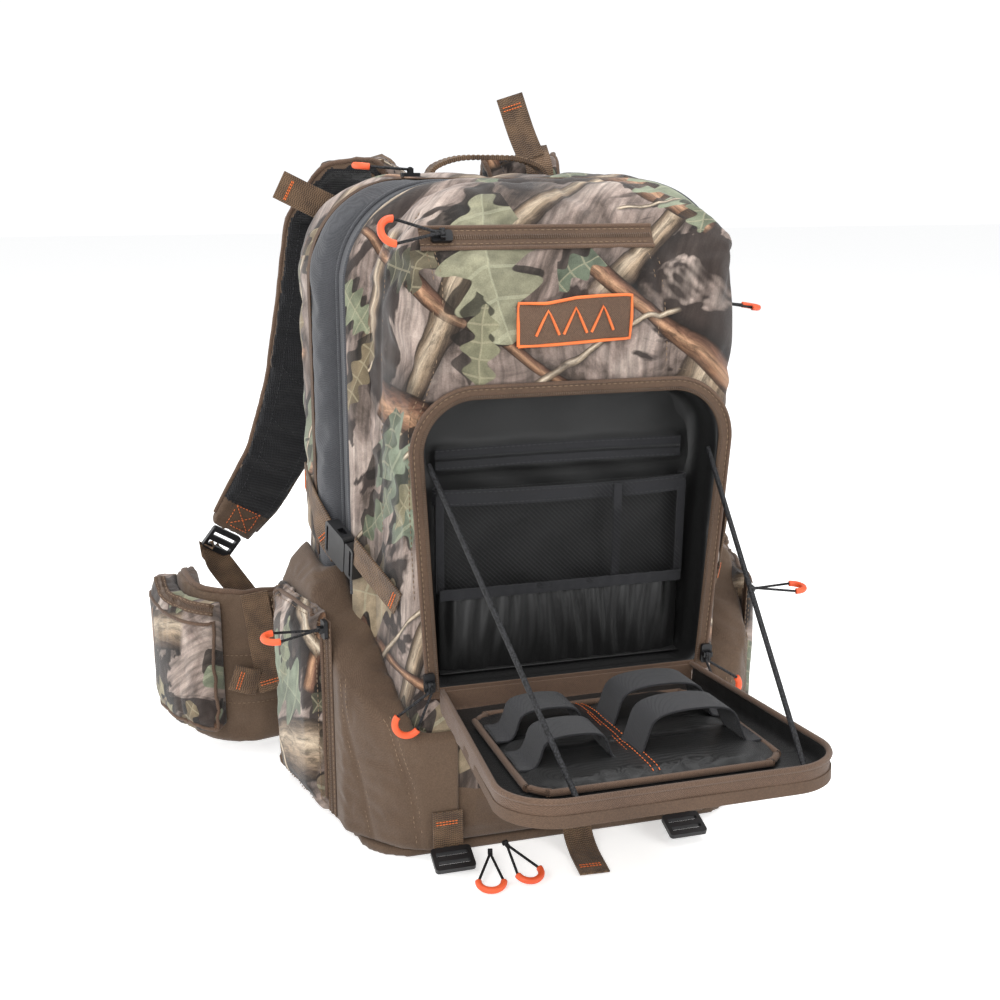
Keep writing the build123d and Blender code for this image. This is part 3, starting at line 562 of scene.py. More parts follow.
def leafLayer(tree, point, under, plan):
    # printed oak leaves: one to a cell, each turned its own way, with lobes, veins and a cast shadow
    spaced = addNode(tree, "Mapping", point, inputs={"Location": plan["shift"]})
    cells = addNode(tree, "TexVoronoi",
                    inputs={"Vector": spaced, "Scale": 1 / plan["cell"], "Randomness": 0.85},
                    voronoi_dimensions="2D", output=None)
    local = addNode(tree, "VectorMath", spaced, cells.outputs["Position"], operation="SUBTRACT")
    draw = addNode(tree, "SeparateColor", cells.outputs["Color"], output=None)
    angle = addNode(tree, "Math", draw.outputs[0], 6.283, operation="MULTIPLY")
    shown = addNode(tree, "Math", draw.outputs[1], plan["rare"], operation="GREATER_THAN")
    outlines = []
    for shift, grow in (((0, 0, 0), 1.0), ((0.007, -0.008, 0), 1.14)):
        moved = addNode(tree, "VectorMath", local, shift)
        turned = addNode(tree, "VectorRotate", moved, inputs={"Angle": angle}, rotation_type="Z_AXIS")
        split = addNode(tree, "SeparateXYZ", turned, output=None)
        away = addNode(tree, "Math", split.outputs[0], operation="ABSOLUTE")
        run = addNode(tree, "Math", split.outputs[1], plan["length"] * grow, operation="DIVIDE")
        fill = addNode(tree, "Math", addNode(tree, "Math", 1.0,
                                             addNode(tree, "Math", run, run, operation="MULTIPLY"),
                                             operation="SUBTRACT"), 0.0, operation="MAXIMUM")
        lobes = addNode(tree, "Math", addNode(tree, "Math", run, plan["lobes"], 0.6,
                                              operation="MULTIPLY_ADD"), operation="COSINE")
        lobes = addNode(tree, "Math", lobes, 0.3, 0.7, operation="MULTIPLY_ADD")
        edge = addNode(tree, "Math", addNode(tree, "Math", fill, 0.6, operation="POWER"), lobes,
                       operation="MULTIPLY")
        edge = addNode(tree, "Math", edge, plan["width"] * grow, operation="MULTIPLY")
        inside = addNode(tree, "MapRange", addNode(tree, "Math", edge, away, operation="SUBTRACT"), 0.0,
                         0.0012 * grow, 0.0, 1.0)
        outlines.append((addNode(tree, "Math", inside, shown, operation="MULTIPLY"), away, run,
                         split.outputs[0]))
    (mask, away, run, across), (cast, _, _, _) = outlines
    under = addNode(tree, "Mix", addNode(tree, "Math", cast, 0.82, operation="MULTIPLY"),
                    inputs={6: under, 7: toLinear("#17130f")}, output=2, data_type="RGBA")
    body = addNode(tree, "ValToRGB", draw.outputs[2], stops=plan["colours"])
    mottled = addNode(tree, "TexNoise", inputs={"Vector": spaced, "Scale": 70.0, "Detail": 5.0})
    lit = addNode(tree, "MapRange", mottled, 0.3, 0.7, 0.62, 1.25)
    half = addNode(tree, "Math", addNode(tree, "Math", across, 0.0, operation="GREATER_THAN"), 0.25, 0.8,
                   operation="MULTIPLY_ADD")
    body = addNode(tree, "Mix", 1.0,
                   inputs={6: body, 7: addNode(tree, "Math", lit, half, operation="MULTIPLY")}, output=2,
                   data_type="RGBA", blend_type="MULTIPLY")
    vein = addNode(tree, "Math", away, -55.0, addNode(tree, "Math", run, 16.0, operation="MULTIPLY"),
                   operation="MULTIPLY_ADD")
    vein = addNode(tree, "Math", addNode(tree, "Math", vein, operation="SINE"), 0.93,
                   operation="GREATER_THAN")
    rib = addNode(tree, "Math", away, 0.0007, operation="LESS_THAN")
    line = addNode(tree, "Math", addNode(tree, "Math", vein, rib, operation="MAXIMUM"), 0.3,
                   operation="MULTIPLY")
    body = addNode(tree, "Mix", line, inputs={6: body, 7: toLinear(plan["vein"])}, output=2,
                   data_type="RGBA")
    return addNode(tree, "Mix", mask, inputs={6: under, 7: body}, output=2, data_type="RGBA")


def woodlandFabric(name, shift, turn):
    # printed brushed polyester: bark, limbs, leaves and shadow gaps of the builder's own drawing
    material, tree, shader = newMaterial(name, 0.82, sheen=0.15, specular=0.2)
    point = addNode(tree, "TexCoord", output="Object")
    u = addNode(tree, "VectorMath", point, (1.0, -0.9, 0.0), output="Value", operation="DOT_PRODUCT")
    v = addNode(tree, "VectorMath", point, (0.0, 0.7, 1.0), output="Value", operation="DOT_PRODUCT")
    flat = addNode(tree, "CombineXYZ", u, v)
    flat = addNode(tree, "Mapping", flat,
                   inputs={"Location": shift, "Rotation": (0, 0, math.radians(turn))})
    hazy = addNode(tree, "TexNoise",
                   inputs={"Vector": flat, "Scale": 11.0, "Detail": 8.0, "Roughness": 0.62,
                           "Distortion": 0.8})
    base = addNode(tree, "ValToRGB", hazy,
                   stops=[(0.28, "#211a17"), (0.4, "#4e433c"), (0.5, "#81726a"), (0.6, "#a3948a"),
                          (0.72, "#bfb2a6")])
    streakPoint = addNode(tree, "Mapping", flat,
                          inputs={"Rotation": (0, 0, 0.25), "Scale": (1.0, 0.12, 1.0)})
    streak = addNode(tree, "TexNoise", inputs={"Vector": streakPoint, "Scale": 190.0, "Detail": 4.0})
    streak = addNode(tree, "MapRange", streak, 0.35, 0.65, 0.52, 1.18)
    colour = addNode(tree, "Mix", 1.0, inputs={6: base, 7: streak}, output=2, data_type="RGBA",
                     blend_type="MULTIPLY")
    # deep shade between the trees
    gaps = addNode(tree, "TexNoise",
                   inputs={"Vector": flat, "Scale": 7.5, "Detail": 3.0, "Roughness": 0.45,
                           "Distortion": 1.6, "Lacunarity": 2.6})
    gaps = addNode(tree, "MapRange", gaps, 0.53, 0.56, 0.0, 0.93)
    colour = addNode(tree, "Mix", gaps, inputs={6: colour, 7: toLinear("#241c19")}, output=2,
                     data_type="RGBA")
    bark = [(0.0, "#2a211b"), (0.16, "#6b5b4b"), (0.38, "#b3a28c"), (0.62, "#8f7c67"), (0.85, "#4f4136"),
            (1.0, "#1d1713")]
    pale = [(0.0, "#3a2f27"), (0.2, "#8c7b68"), (0.42, "#c9bba6"), (0.7, "#9a8975"), (1.0, "#2c231d")]
    warm = [(0.0, "#2b1d15"), (0.25, "#7a5a44"), (0.45, "#a98467"), (0.7, "#6f5040"), (1.0, "#21160f")]
    colour = limbLayer(tree, flat, colour, {
        "shift": (0.013, 0, 0), "angle": 24, "bendScale": 5.0, "bend": 0.05, "spacing": 0.105,
        "half": 0.031,
        "taper": 2.4, "breaks": 5.0, "rare": 0.45, "grain": 210.0, "colours": bark})
    colour = limbLayer(tree, flat, colour, {
        "shift": (0.05, 0.02, 0), "angle": -58, "bendScale": 6.0, "bend": 0.045, "spacing": 0.085,
        "half": 0.017,
        "taper": 3.4, "breaks": 7.0, "rare": 0.47, "grain": 260.0, "colours": warm})
    colour = leafLayer(tree, flat, colour, {
        "shift": (0.03, 0.01, 0), "cell": 0.118, "length": 0.074, "width": 0.040, "lobes": 13.0,
        "rare": 0.46,
        "vein": "#a5a58c", "colours": [(0.0, "#4b5449"), (0.35, "#6f7765"), (0.6, "#8f9178"),
                                       (0.8, "#66594a"),
                                       (1.0, "#8f8069")]})
    colour = limbLayer(tree, flat, colour, {
        "shift": (0.09, 0.05, 0), "angle": 62, "bendScale": 7.0, "bend": 0.06, "spacing": 0.12,
        "half": 0.009,
        "taper": 4.0, "breaks": 8.0, "rare": 0.46, "grain": 320.0, "colours": pale})
    colour = leafLayer(tree, flat, colour, {
        "shift": (-0.02, 0.04, 0), "cell": 0.061, "length": 0.031, "width": 0.017, "lobes": 11.0,
        "rare": 0.70,
        "vein": "#a89f84", "colours": [(0.0, "#545c4d"), (0.4, "#787c65"), (0.7, "#75664f"),
                                       (1.0, "#444438")]})
    fibre = addNode(tree, "TexNoise", inputs={"Vector": point, "Scale": 1100.0, "Detail": 2.0})
    fibre = addNode(tree, "MapRange", fibre, 0.3, 0.7, 0.86, 1.12)
    colour = addNode(tree, "Mix", 1.0, inputs={6: colour, 7: fibre}, output=2, data_type="RGBA",
                     blend_type="MULTIPLY")
    # real threads are 0.4 mm apart; drawn coarser so they show
    _, bump = wovenBump(tree, point, 1.3 * mm, 0.10 * mm)
    tree.links.new(colour, shader.inputs["Base Color"])
    tree.links.new(bump, shader.inputs["Normal"])
    return material


def ribbedWebbing(name, dark, light, rib, roughness):
    # woven narrow tape: ribs run across it, read from its own flat map in metres
    material, tree, shader = newMaterial(name, roughness, sheen=0.1, specular=0.3)
    flat = addNode(tree, "UVMap")
    split = addNode(tree, "SeparateXYZ", flat, output=None)
    along, across = split.outputs[0], split.outputs[1]
    zigzag = addNode(tree, "Math", across, 3.1 * mm, operation="PINGPONG")
    slanted = addNode(tree, "Math", along, addNode(tree, "Math", zigzag, 0.35, operation="MULTIPLY"),
                      operation="ADD")
    ribs = addNode(tree, "Math", addNode(tree, "Math", slanted, 2 * math.pi / rib, operation="MULTIPLY"),
                   operation="SINE")
    cords = addNode(tree, "Math", addNode(tree, "Math", across, 2 * math.pi / (1.55 * mm),
                                          operation="MULTIPLY"), operation="SINE")
    height = addNode(tree, "Math", ribs, addNode(tree, "Math", cords, 0.6, operation="MULTIPLY"),
                     operation="ADD")
    point = addNode(tree, "TexCoord", output="Object")
    worn = addNode(tree, "TexNoise", inputs={"Vector": point, "Scale": 60.0, "Detail": 5.0})
    # painted highlight: rib and cord crests are painted lighter and their hollows darker; the worn noise is the
    # tape's own tone
    lit = addNode(tree, "Math", addNode(tree, "Math", height, 0.16, operation="MULTIPLY"), worn,
                  operation="ADD")
    colour = addNode(tree, "Mix", addNode(tree, "MapRange", lit, 0.25, 0.75),
                     inputs={6: toLinear(dark), 7: toLinear(light)}, output=2, data_type="RGBA")
    bump = addNode(tree, "Bump", inputs={"Strength": 0.8, "Distance": 0.25 * mm, "Height": height})
    tree.links.new(colour, shader.inputs["Base Color"])
    tree.links.new(bump, shader.inputs["Normal"])
    return material


def mouldedPart(name, dark, light, roughness, grain, depth, specular=0.5, metallic=0.0):
    # injection-moulded or cast surface: a faint grain, slightly uneven gloss
    material, tree, shader = newMaterial(name, roughness, metallic, specular=specular)
    point = addNode(tree, "TexCoord", output="Object")
    pits = addNode(tree, "TexNoise", inputs={"Vector": point, "Scale": grain, "Detail": 4.0})
    patches = addNode(tree, "TexNoise", inputs={"Vector": point, "Scale": 45.0, "Detail": 3.0})
    colour = addNode(tree, "Mix", patches, inputs={6: toLinear(dark), 7: toLinear(light)}, output=2,
                     data_type="RGBA")
    gloss = addNode(tree, "MapRange", patches, 0.3, 0.7, roughness - 0.07, roughness + 0.09)
    bump = addNode(tree, "Bump", inputs={"Strength": 0.6, "Distance": depth, "Height": pits})
    tree.links.new(colour, shader.inputs["Base Color"])
    tree.links.new(gloss, shader.inputs["Roughness"])
    tree.links.new(bump, shader.inputs["Normal"])
    return material


def airMesh(name, dark, light, hole):
    # knitted spacer mesh: rows of round holes, painted darker than the yarn as shade in their hollows
    material, tree, shader = newMaterial(name, 0.75, sheen=0.1, specular=0.3)
    point = addNode(tree, "TexCoord", output="Object")
    wave = 2 * math.pi / hole
    flat = addNode(tree, "Mapping", point, inputs={"Scale": (wave, wave * 0.7, wave)})
    split = addNode(tree, "SeparateXYZ", flat, output=None)
    slant = addNode(tree, "Math", split.outputs[0], split.outputs[1], operation="ADD")
    one = addNode(tree, "Math", addNode(tree, "Math", slant, split.outputs[2], operation="ADD"),
                  operation="SINE")
    two = addNode(tree, "Math", addNode(tree, "Math", slant, split.outputs[2], operation="SUBTRACT"),
                  operation="SINE")
    holes = addNode(tree, "Math", one, two, operation="MULTIPLY")
    colour = addNode(tree, "Mix", addNode(tree, "MapRange", holes, -0.2, 0.5),
                     inputs={6: toLinear(light), 7: toLinear(dark)}, output=2, data_type="RGBA")
    bump = addNode(tree, "Bump", inputs={"Strength": 0.8, "Distance": 0.5 * mm, "Height": holes},
                   invert=True)
    tree.links.new(colour, shader.inputs["Base Color"])
    tree.links.new(bump, shader.inputs["Normal"])
    return material


def braidedCord(name, dark, light, pitch):
    # tight braid: strands drawn as Voronoi cells, lighter in their middles, with painted shade in the gaps
    # between them
    material, tree, shader = newMaterial(name, 0.6, specular=0.3)
    point = addNode(tree, "TexCoord", output="Object")
    strands = addNode(tree, "TexVoronoi", inputs={"Vector": point, "Scale": 1 / pitch}, output="Distance")
    colour = addNode(tree, "ValToRGB", strands, stops=[(0.2, light), (0.7, dark)])
    bump = addNode(tree, "Bump", inputs={"Strength": 0.9, "Distance": 0.4 * mm,
                                         "Height": strands}, invert=True)
    tree.links.new(colour, shader.inputs["Base Color"])
    tree.links.new(bump, shader.inputs["Normal"])
    return material


finish = {
    "frontCamo": woodlandFabric("Printed polyester, front", (0.02, 0.03, 0), 6),
    "rearCamo": woodlandFabric("Printed polyester, rear", (0.31, 0.12, 0), -12),
    "podCamo": woodlandFabric("Printed polyester, pods", (0.55, 0.37, 0), 80),
    "strapCamo": woodlandFabric("Printed polyester, straps", (0.83, 0.21, 0), 35),
    # 600-denier oxford: matt brown, a coarse even weave
    "brownOxford": wovenFabric("Oxford polyester, brown", "#3a2a1f", "#63503f", 1.2 * mm, 0.12 * mm, 0.8,
                               0.12),
    "brownBinding": wovenFabric("Grosgrain binding, brown", "#3a2a20", "#67503f", 1.6 * mm, 0.2 * mm, 0.7,
                                0.1),
    # ballistic weave: charcoal with a slight shine on the thick threads
    "charcoal": wovenFabric("Ballistic nylon, charcoal", "#232427", "#4a4b4f", 1.8 * mm, 0.2 * mm, 0.62,
                            0.1),
    # taffeta lining: black, soft gloss, creased
    "satin": wovenFabric("Taffeta lining, black", "#040404", "#141414", 0.8 * mm, 0.08 * mm, 0.40, 0.03,
                         specular=0.42, crease=5.0),
    "elastic": wovenFabric("Knitted elastic, black", "#0a0a0b", "#26262a", 1.5 * mm, 0.25 * mm, 0.72, 0.1),
    "zipTape": wovenFabric("Zip tape, brown", "#382a20", "#604b3b", 1.1 * mm, 0.12 * mm, 0.72),
    "brownWebbing": ribbedWebbing("Polypropylene webbing, brown", "#35271d", "#6f5740", 1.9 * mm, 0.62),
    "airMesh": airMesh("Spacer mesh, black", "#050506", "#1d1d20", 3.2 * mm),
    "netting": airMesh("Nylon netting, black", "#0b0b0c", "#242426", 1.2 * mm),
    "coil": mouldedPart("Nylon coil, brown", "#3b2c22", "#64503f", 0.42, 700.0, 0.02 * mm),
    "blackCoil": mouldedPart("Nylon coil, black", "#0b0b0b", "#1c1c1d", 0.4, 700.0, 0.02 * mm),
    "acetal": mouldedPart("Moulded acetal, black", "#0c0c0d", "#1d1d20", 0.4, 420.0, 0.04 * mm),
    "rubber": mouldedPart("Moulded rubber, orange", "#c9431f", "#e8663a", 0.5, 300.0, 0.05 * mm,
                          specular=0.4),
    "zinc": mouldedPart("Painted zinc, black", "#0d0d0e", "#2a2a2c", 0.35, 500.0, 0.02 * mm, metallic=0.4),
    "orangeThread": mouldedPart("Polyester thread, orange", "#b8501f", "#e57a3a", 0.6, 900.0, 0.05 * mm),
    "brownThread": mouldedPart("Polyester thread, brown", "#55432f", "#8c745c", 0.6, 900.0, 0.05 * mm),
    "blackThread": mouldedPart("Polyester thread, black", "#141416", "#343437", 0.6, 900.0, 0.05 * mm),
    "braid": braidedCord("Braided cord, black", "#050505", "#2b2b2e", 1.5 * mm),
    "floorPaper": mouldedPart("Studio paper", "#e9e9e8", "#f3f3f2", 0.9, 300.0, 0.02 * mm, specular=0.1),
    "sheet": mouldedPart("Polyethylene sheet", "#101012", "#1c1c1e", 0.5, 300.0, 0.02 * mm),
}
print("materials ready:", len(finish))


# places taken from the frame

frontLow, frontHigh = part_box("front_compartment")
mainLow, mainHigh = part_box("main_compartment")
liningLow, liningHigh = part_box("organizer_lining")
frontY, gussetY, splitY, backY = frontLow.y, frontHigh.y, mainLow.y, mainHigh.y
sliderLow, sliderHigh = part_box("main_slider_left")
mainZipY = (sliderLow.y + sliderHigh.y) / 2
bagCentre = np.array((0, 0, 300 * mm))
bagFoot = 12 * mm
pocketCover = {"top": 222 * mm, "inner": 92 * mm, "back": 85 * mm, "sewnInner": 128 * mm}
opening = {
    "low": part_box("organizer_zip")[0].z,
    "high": liningHigh.z + 0.2 * mm,
    "halfHigh": liningHigh.x + 0.2 * mm,
    "halfLow": liningHigh.x - 10.8 * mm,
    "corner": 40 * mm,
    "recessY": liningHigh.y,
}
slope = {"low": 474 * mm, "high": 516 * mm, "setBack": 28 * mm, "crown": 531 * mm, "crownBack": 58 * mm}


def openingLine(grow, y):
    # the opening's outline from its lower left, over the top, to its lower right
    radius = opening["corner"] + grow
    half, high = opening["halfHigh"] + grow, opening["high"] + grow
    line = []
    for step in range(9):
        share = step / 9
        z = opening["low"] + share * (high - radius - opening["low"])
        line.append((opening["halfLow"] + grow + share * (half - opening["halfLow"] - grow), y, z))
    for step in range(13):
        turn = math.radians(90 * step / 12)
        line.append((half - radius + radius * math.cos(turn), y, high - radius + radius * math.sin(turn)))
    for share in (0.25, 0.5, 0.75, 1):
        line.append(((half - radius) * (1 - share), y, high))
    right = line[:-1]
    return [(-x, y, z) for x, y, z in right] + [line[-1]] + right[::-1]


def insideOpening(co, grow):
    share = np.clip((co[:, 2] - opening["low"]) / (opening["high"] - opening["low"]), 0, 1)
    half = opening["halfLow"] + share * (opening["halfHigh"] - opening["halfLow"]) + grow
    corner = opening["corner"] + grow
    over = np.clip(co[:, 2] - (opening["high"] + grow - corner), 0, None)
    half = np.where(over > 0, half - corner + np.sqrt(np.clip(corner ** 2 - over ** 2, 0, None)), half)
    level = (co[:, 2] > opening["low"] - grow) & (co[:, 2] < opening["high"] + grow)
    return level & (np.abs(co[:, 0]) < half)


def bagLine(half, high, corner, y, low):
    # a compartment's outline seen from the front, open at the bottom
    side = [(half, y, low + (high - corner - low) * step / 6) for step in range(7)]
    arc = []
    for step in range(1, 10):
        turn = math.radians(10 * step)
        arc.append((half - corner + corner * math.cos(turn), y, high - corner + corner * math.sin(turn)))
    top = [((half - corner) * (1 - share), y, high) for share in (0, 0.33, 0.66)]
    right = side + arc + top
    return [(-x, y, z) for x, y, z in right] + [(0, y, high)] + right[::-1]


sewing = {}


def keepSewing(body, look, piece):
    sewing.setdefault((body, look), []).append(piece)


def topstitch(run, body, look="brownThread", sides=(0.0,), start=0.0, end=None, height=0.2 * mm, **plan):
    end = run["length"] if end is None else end
    for side in sides:
        keepSewing(body, look, thread(run, start, end, side=side, height=height, **plan))


# bag body

frontSeams = {
    "left": [(-112, -104, 492), (-107, -118, 462), (-110, -120, 420), (-119, -120, 386), (-133, -119, 352),
             (-131, -117, 300), (-126, -118, 220)],
    "right": [(56, -103, 498), (63, -118, 466), (68, -120, 430), (70, -120, 394)],
    "rightLow": [(70, -120, 394), (104, -120, 384), (131, -117, 346), (128, -117, 240)],
    "slopeLow": [(-112, -104, 492), (-40, -106, 495), (56, -103, 498)],
    "skirt": [(-92, -120, 108), (0, -120, 112), (92, -120, 108)],
    "leftCorner": [(-118, -82, 517), (-133, -74, 470), (-139, -66, 400), (-139, -62, 300),
                   (-139, -60, 226)],
    "rightCorner": [(118, -82, 517), (133, -74, 470), (139, -66, 400), (139, -62, 300), (139, -60, 226)],
}
frontSeams = {key: [tuple(v * mm for v in p) for p in line] for key, line in frontSeams.items()}


def coveredByPockets(co):
    beside = (np.abs(co[:, 0]) > pocketCover["inner"]) & (co[:, 1] < pocketCover["back"])
    return beside & (co[:, 2] < pocketCover["top"])


def frontHeld(co):
    recess = insideOpening(co, 17 * mm) & (co[:, 1] < opening["recessY"] + 8 * mm)
    behind = co[:, 1] > gussetY - 8 * mm
    return recess | behind | coveredByPockets(co) | (co[:, 2] < 20 * mm)


def makeFront():
    plan = {"voxel": 5.5 * mm, "rounding": 5, "held": frontHeld, "seams": list(frontSeams.values()),
            "pressure": 5.0, "cap": 7 * mm, "slack": 0.05, "folds": (0.05, 2.6 * mm),
            "grooveDepth": 2.2 * mm}
    skin = softSkin("front_compartment", "frontCompartment", plan)
    centre, normal = faceArrays(skin)
    middle = np.array((0, 0, (opening["low"] + opening["high"]) / 2))
    inward = (((middle - centre) * (1, 0, 1)) * normal).sum(1) > 0
    recess = insideOpening(centre, 1.5 * mm) | (insideOpening(centre, 9 * mm) & inward)
    recess &= (centre[:, 1] > frontY + 2 * mm) & (centre[:, 1] < opening["recessY"] + 6 * mm)
    skirt = (centre[:, 2] < 60 * mm) & ~recess
    paint(skin, [finish["frontCamo"], finish["satin"], finish["brownOxford"]],
          np.where(recess, 1, np.where(skirt, 2, 0)))
    settle(skin, "frontCompartment", "pack", ["front_compartment"])
    tree = skinTree(skin)
    for key, line in frontSeams.items():
        run = onSkin(tree, line)
        topstitch(run, "pack", sides=(-3 * mm, 3 * mm) if key in ("left", "right") else (3 * mm,))
    return tree


def mainHeld(co):
    alongZip = np.abs(co[:, 1] - mainZipY) < 10 * mm
    ends = (co[:, 1] < splitY + 6 * mm) | (co[:, 1] > backY - 9 * mm)
    return alongZip | ends | coveredByPockets(co) | (co[:, 2] < 20 * mm)


def makeMain():
    plan = {"voxel": 7 * mm, "rounding": 3, "held": mainHeld, "pressure": 5.0, "cap": 6 * mm, "slack": 0.04,
            "folds": (0.06, 2.4 * mm)}
    skin = softSkin("main_compartment", "rearCompartment", plan)
    centre, normal = faceArrays(skin)
    back = (normal[:, 1] > 0.75) & (centre[:, 1] > backY - 6 * mm)
    fore = centre[:, 1] < mainZipY + 1 * mm
    low = (centre[:, 2] < 50 * mm) & ~back & ~fore
    paint(skin, [finish["rearCamo"], finish["charcoal"], finish["brownOxford"]],
          np.where(back | fore, 1, np.where(low, 2, 0)))
    settle(skin, "rearCompartment", "pack", ["main_compartment"])


def ringBand(name, first, second, look, nodes, sag):
    # a strip of cloth sewn between two lines, drawn in or bulging out between them
    rows = 7
    bpy.ops.object.select_all(action="DESELECT")
    bpy.ops.mesh.primitive_grid_add(x_subdivisions=rows - 1, y_subdivisions=len(first) - 1)
    band = bpy.context.view_layer.objects.active
    made = []
    for p, q in zip(first, second):
        inward = bagCentre - p
        inward = inward * (1, 0, 1) / np.linalg.norm(inward * (1, 0, 1))
        for row in range(rows):
            k = row / (rows - 1)
            made.append(p * (1 - k) + q * k + inward * math.sin(math.pi * k) * sag)
    setPlaces(band, np.array(made))
    modify(band, "SOLIDIFY", thickness=1.6 * mm, offset=0)
    editAll(band, lambda: bpy.ops.mesh.normals_make_consistent(inside=False))
    paint(band, [finish[look]])
    soften(band)
    settle(band, name, "pack", nodes)


def makeGusset():
    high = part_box("gusset")[1]
    half, top = high.x - 0.4 * mm, high.z - 0.4 * mm
    edges = [makeRun(bagLine(half, top, 80 * mm, y, bagFoot), across=(0, 1, 0))["p"][::5]
             for y in (splitY + 1 * mm, gussetY)]
    ringBand("gussetStrip", edges[0], edges[1], "charcoal", ["gusset"], 2.2 * mm)
    for y in (gussetY + 1 * mm, splitY - 1 * mm):
        run = makeRun(bagLine(half + 0.6 * mm, top + 0.6 * mm, 80 * mm, y, 200 * mm),
                      across=(0, 1, 0))
        keepSewing("pack", "charcoal", piping(run, 2.2 * mm))


def makeFlank(tree):
    # the sides of the front compartment flare out to meet the gusset's edge
    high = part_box("gusset")[1]
    line = bagLine(high.x + 0.2 * mm, high.z + 0.2 * mm, 80 * mm, gussetY + 0.5 * mm, bagFoot)
    outer = makeRun(line, across=(0, 1, 0))["p"][::6]
    inner = []
    for p in outer:
        inward = (bagCentre - p) * (1, 0, 1)
        foot = p + inward / np.linalg.norm(inward) * 15 * mm + np.array((0, -22 * mm, 0))
        hit, normal, _, _ = tree.find_nearest(Vector(foot))
        inner.append(np.array(hit) - np.array(normal) * 0.8 * mm)
    ringBand("frontFlank", outer, inner, "frontCamo", (), -3.5 * mm)


def makeBase():
    plan = {"voxel": 4 * mm, "rounding": 3, "pressure": 0, "subdivide": False}
    skin = softSkin("base_panel", "basePanel", plan)
    paint(skin, [finish["brownOxford"]])
    settle(skin, "basePanel", "pack", ["base_panel"])


def nearNode(co, node, reach):
    mesh = frame["nodes"][node].data
    tree = BVHTree.FromPolygons([v.co for v in mesh.vertices], [list(p.vertices) for p in mesh.polygons])
    return np.array([tree.find_nearest(Vector(p), reach)[0] is not None for p in co])


def makeSidePocket(side):
    name = "left" if side < 0 else "right"
    node, pod = "side_pocket_" + name, "side_pod_" + name

    def held(co):
        inner = np.abs(co[:, 0]) < pocketCover["sewnInner"]
        return inner | nearNode(co, pod, 9 * mm) | nearNode(co, "pod_zips", 6 * mm) | (co[:, 2] < 14 * mm)

    seam = [(side * x * mm, y * mm, z * mm) for x, y, z in
            ((181, -80, 150), (178, -82, 110), (168, -92, 60), (160, -98, 14))]
    foreSeam = [(side * x * mm, y * mm, z * mm) for x, y, z in
                ((150, -112, 128), (142, -119, 95), (132, -123, 60), (126, -124, 14))]
    plan = {"voxel": 4.5 * mm, "rounding": 4, "held": held, "seams": [seam, foreSeam], "pressure": 5.0,
            "cap": 5 * mm, "slack": 0.03, "folds": (0.05, 2.0 * mm)}
    skin = softSkin(node, "sidePocket" + name.capitalize(), plan)
    paint(skin, [finish["brownOxford"]])
    settle(skin, "sidePocket" + name.capitalize(), "pack", [node])
    tree = skinTree(skin)
    for line in (seam, foreSeam):
        topstitch(onSkin(tree, line), "pack", sides=(-2.6 * mm, 2.6 * mm))


def podFrame(side):
    # place, up, along (to the front) and outward directions of the slanted pod
    co = places(frame["nodes"]["pod_zips"])
    co = co[co[:, 0] * side > 0]
    centre = co.mean(0)
    pod = places(frame["nodes"]["side_pod_left" if side < 0 else "side_pod_right"])
    toFront = centre - pod.mean(0)
    toFront[2] = 0
    toFront /= np.linalg.norm(toFront)
    out = np.cross((0, 0, 1), toFront) * side * 1.0
    if out[0] * side < 0:
        out = -out
    return centre, toFront, out


def roundedRing(halfWide, halfTall, radius):
    # a rectangle with round corners, as points in its own plane
    ring = []
    for quarter, (a, b) in enumerate(((1, 1), (-1, 1), (-1, -1), (1, -1))):
        for step in range(5):
            turn = math.radians(90 * quarter + 90 * step / 4)
            ring.append((a * (halfWide - radius) + radius * math.cos(turn),
                         b * (halfTall - radius) + radius * math.sin(turn)))
    return ring


def makePod(side):
    name = "left" if side < 0 else "right"
    node = "side_pod_" + name
    _, toFront, out = podFrame(side)
    low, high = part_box(node)
    solid = places(frame["nodes"][node])
    base = (solid @ out).min()

    def held(co):
        return (co @ out) < base + 3.5 * mm

    plan = {"voxel": 3.5 * mm, "rounding": 4, "held": held, "pressure": 7.0, "cap": 6 * mm, "slack": 0.05,
            "folds": (0.035, 2.0 * mm)}
    skin = softSkin(node, "pod" + name.capitalize(), plan)
    paint(skin, [finish["podCamo"]])
    settle(skin, "pod" + name.capitalize(), "pack", [node])
    tree = skinTree(skin)
    middle = (np.array(low) + np.array(high)) / 2
    halfLong, halfTall = 49 * mm, (high.z - low.z) / 2 - 3 * mm
    line = [middle + toFront * along + np.array((0, 0, 1)) * up + out * 3 * mm
            for along, up in roundedRing(halfLong, halfTall, 20 * mm)]
    run = onSkin(tree, line, closed=True)
    keepSewing("pack", "brownBinding", piping(run, 1.9 * mm, lift=0.6 * mm))
    topstitch(run, "pack", sides=(-5 * mm, 5 * mm))


frontTree = makeFront()
makeFlank(frontTree)
print("front compartment sewn")
makeMain()
makeGusset()
makeBase()
print("rear compartment, gusset and base sewn")
for side in (-1, 1):
    makeSidePocket(side)
for side in (-1, 1):
    makePod(side)
print("side pockets and pods sewn")


# organizer: lining, pockets and their bindings

def strip(points, across, width, thickness, look, smooth=True, rows=6):
    made, run = webbing(points, across, width, thickness, smooth, rows)
    paint(made, [finish[look]])
    return made, run


def clothPanel(name, x0, x1, y, z0, z1, pitch, shape):
    # an upright cloth panel facing the front; shape gives how far each point stands forward
    columns, rows = int((x1 - x0) / pitch), int((z1 - z0) / pitch)
    bpy.ops.mesh.primitive_grid_add(x_subdivisions=columns, y_subdivisions=rows, size=1)
    panel = bpy.context.view_layer.objects.active
    panel.name = name
    co = places(panel)
    across, up = co[:, 0] + 0.5, co[:, 1] + 0.5
    x, z = x0 + across * (x1 - x0), z0 + up * (z1 - z0)
    setPlaces(panel, np.stack([x, y - shape(across, up), z], 1))
    return panel


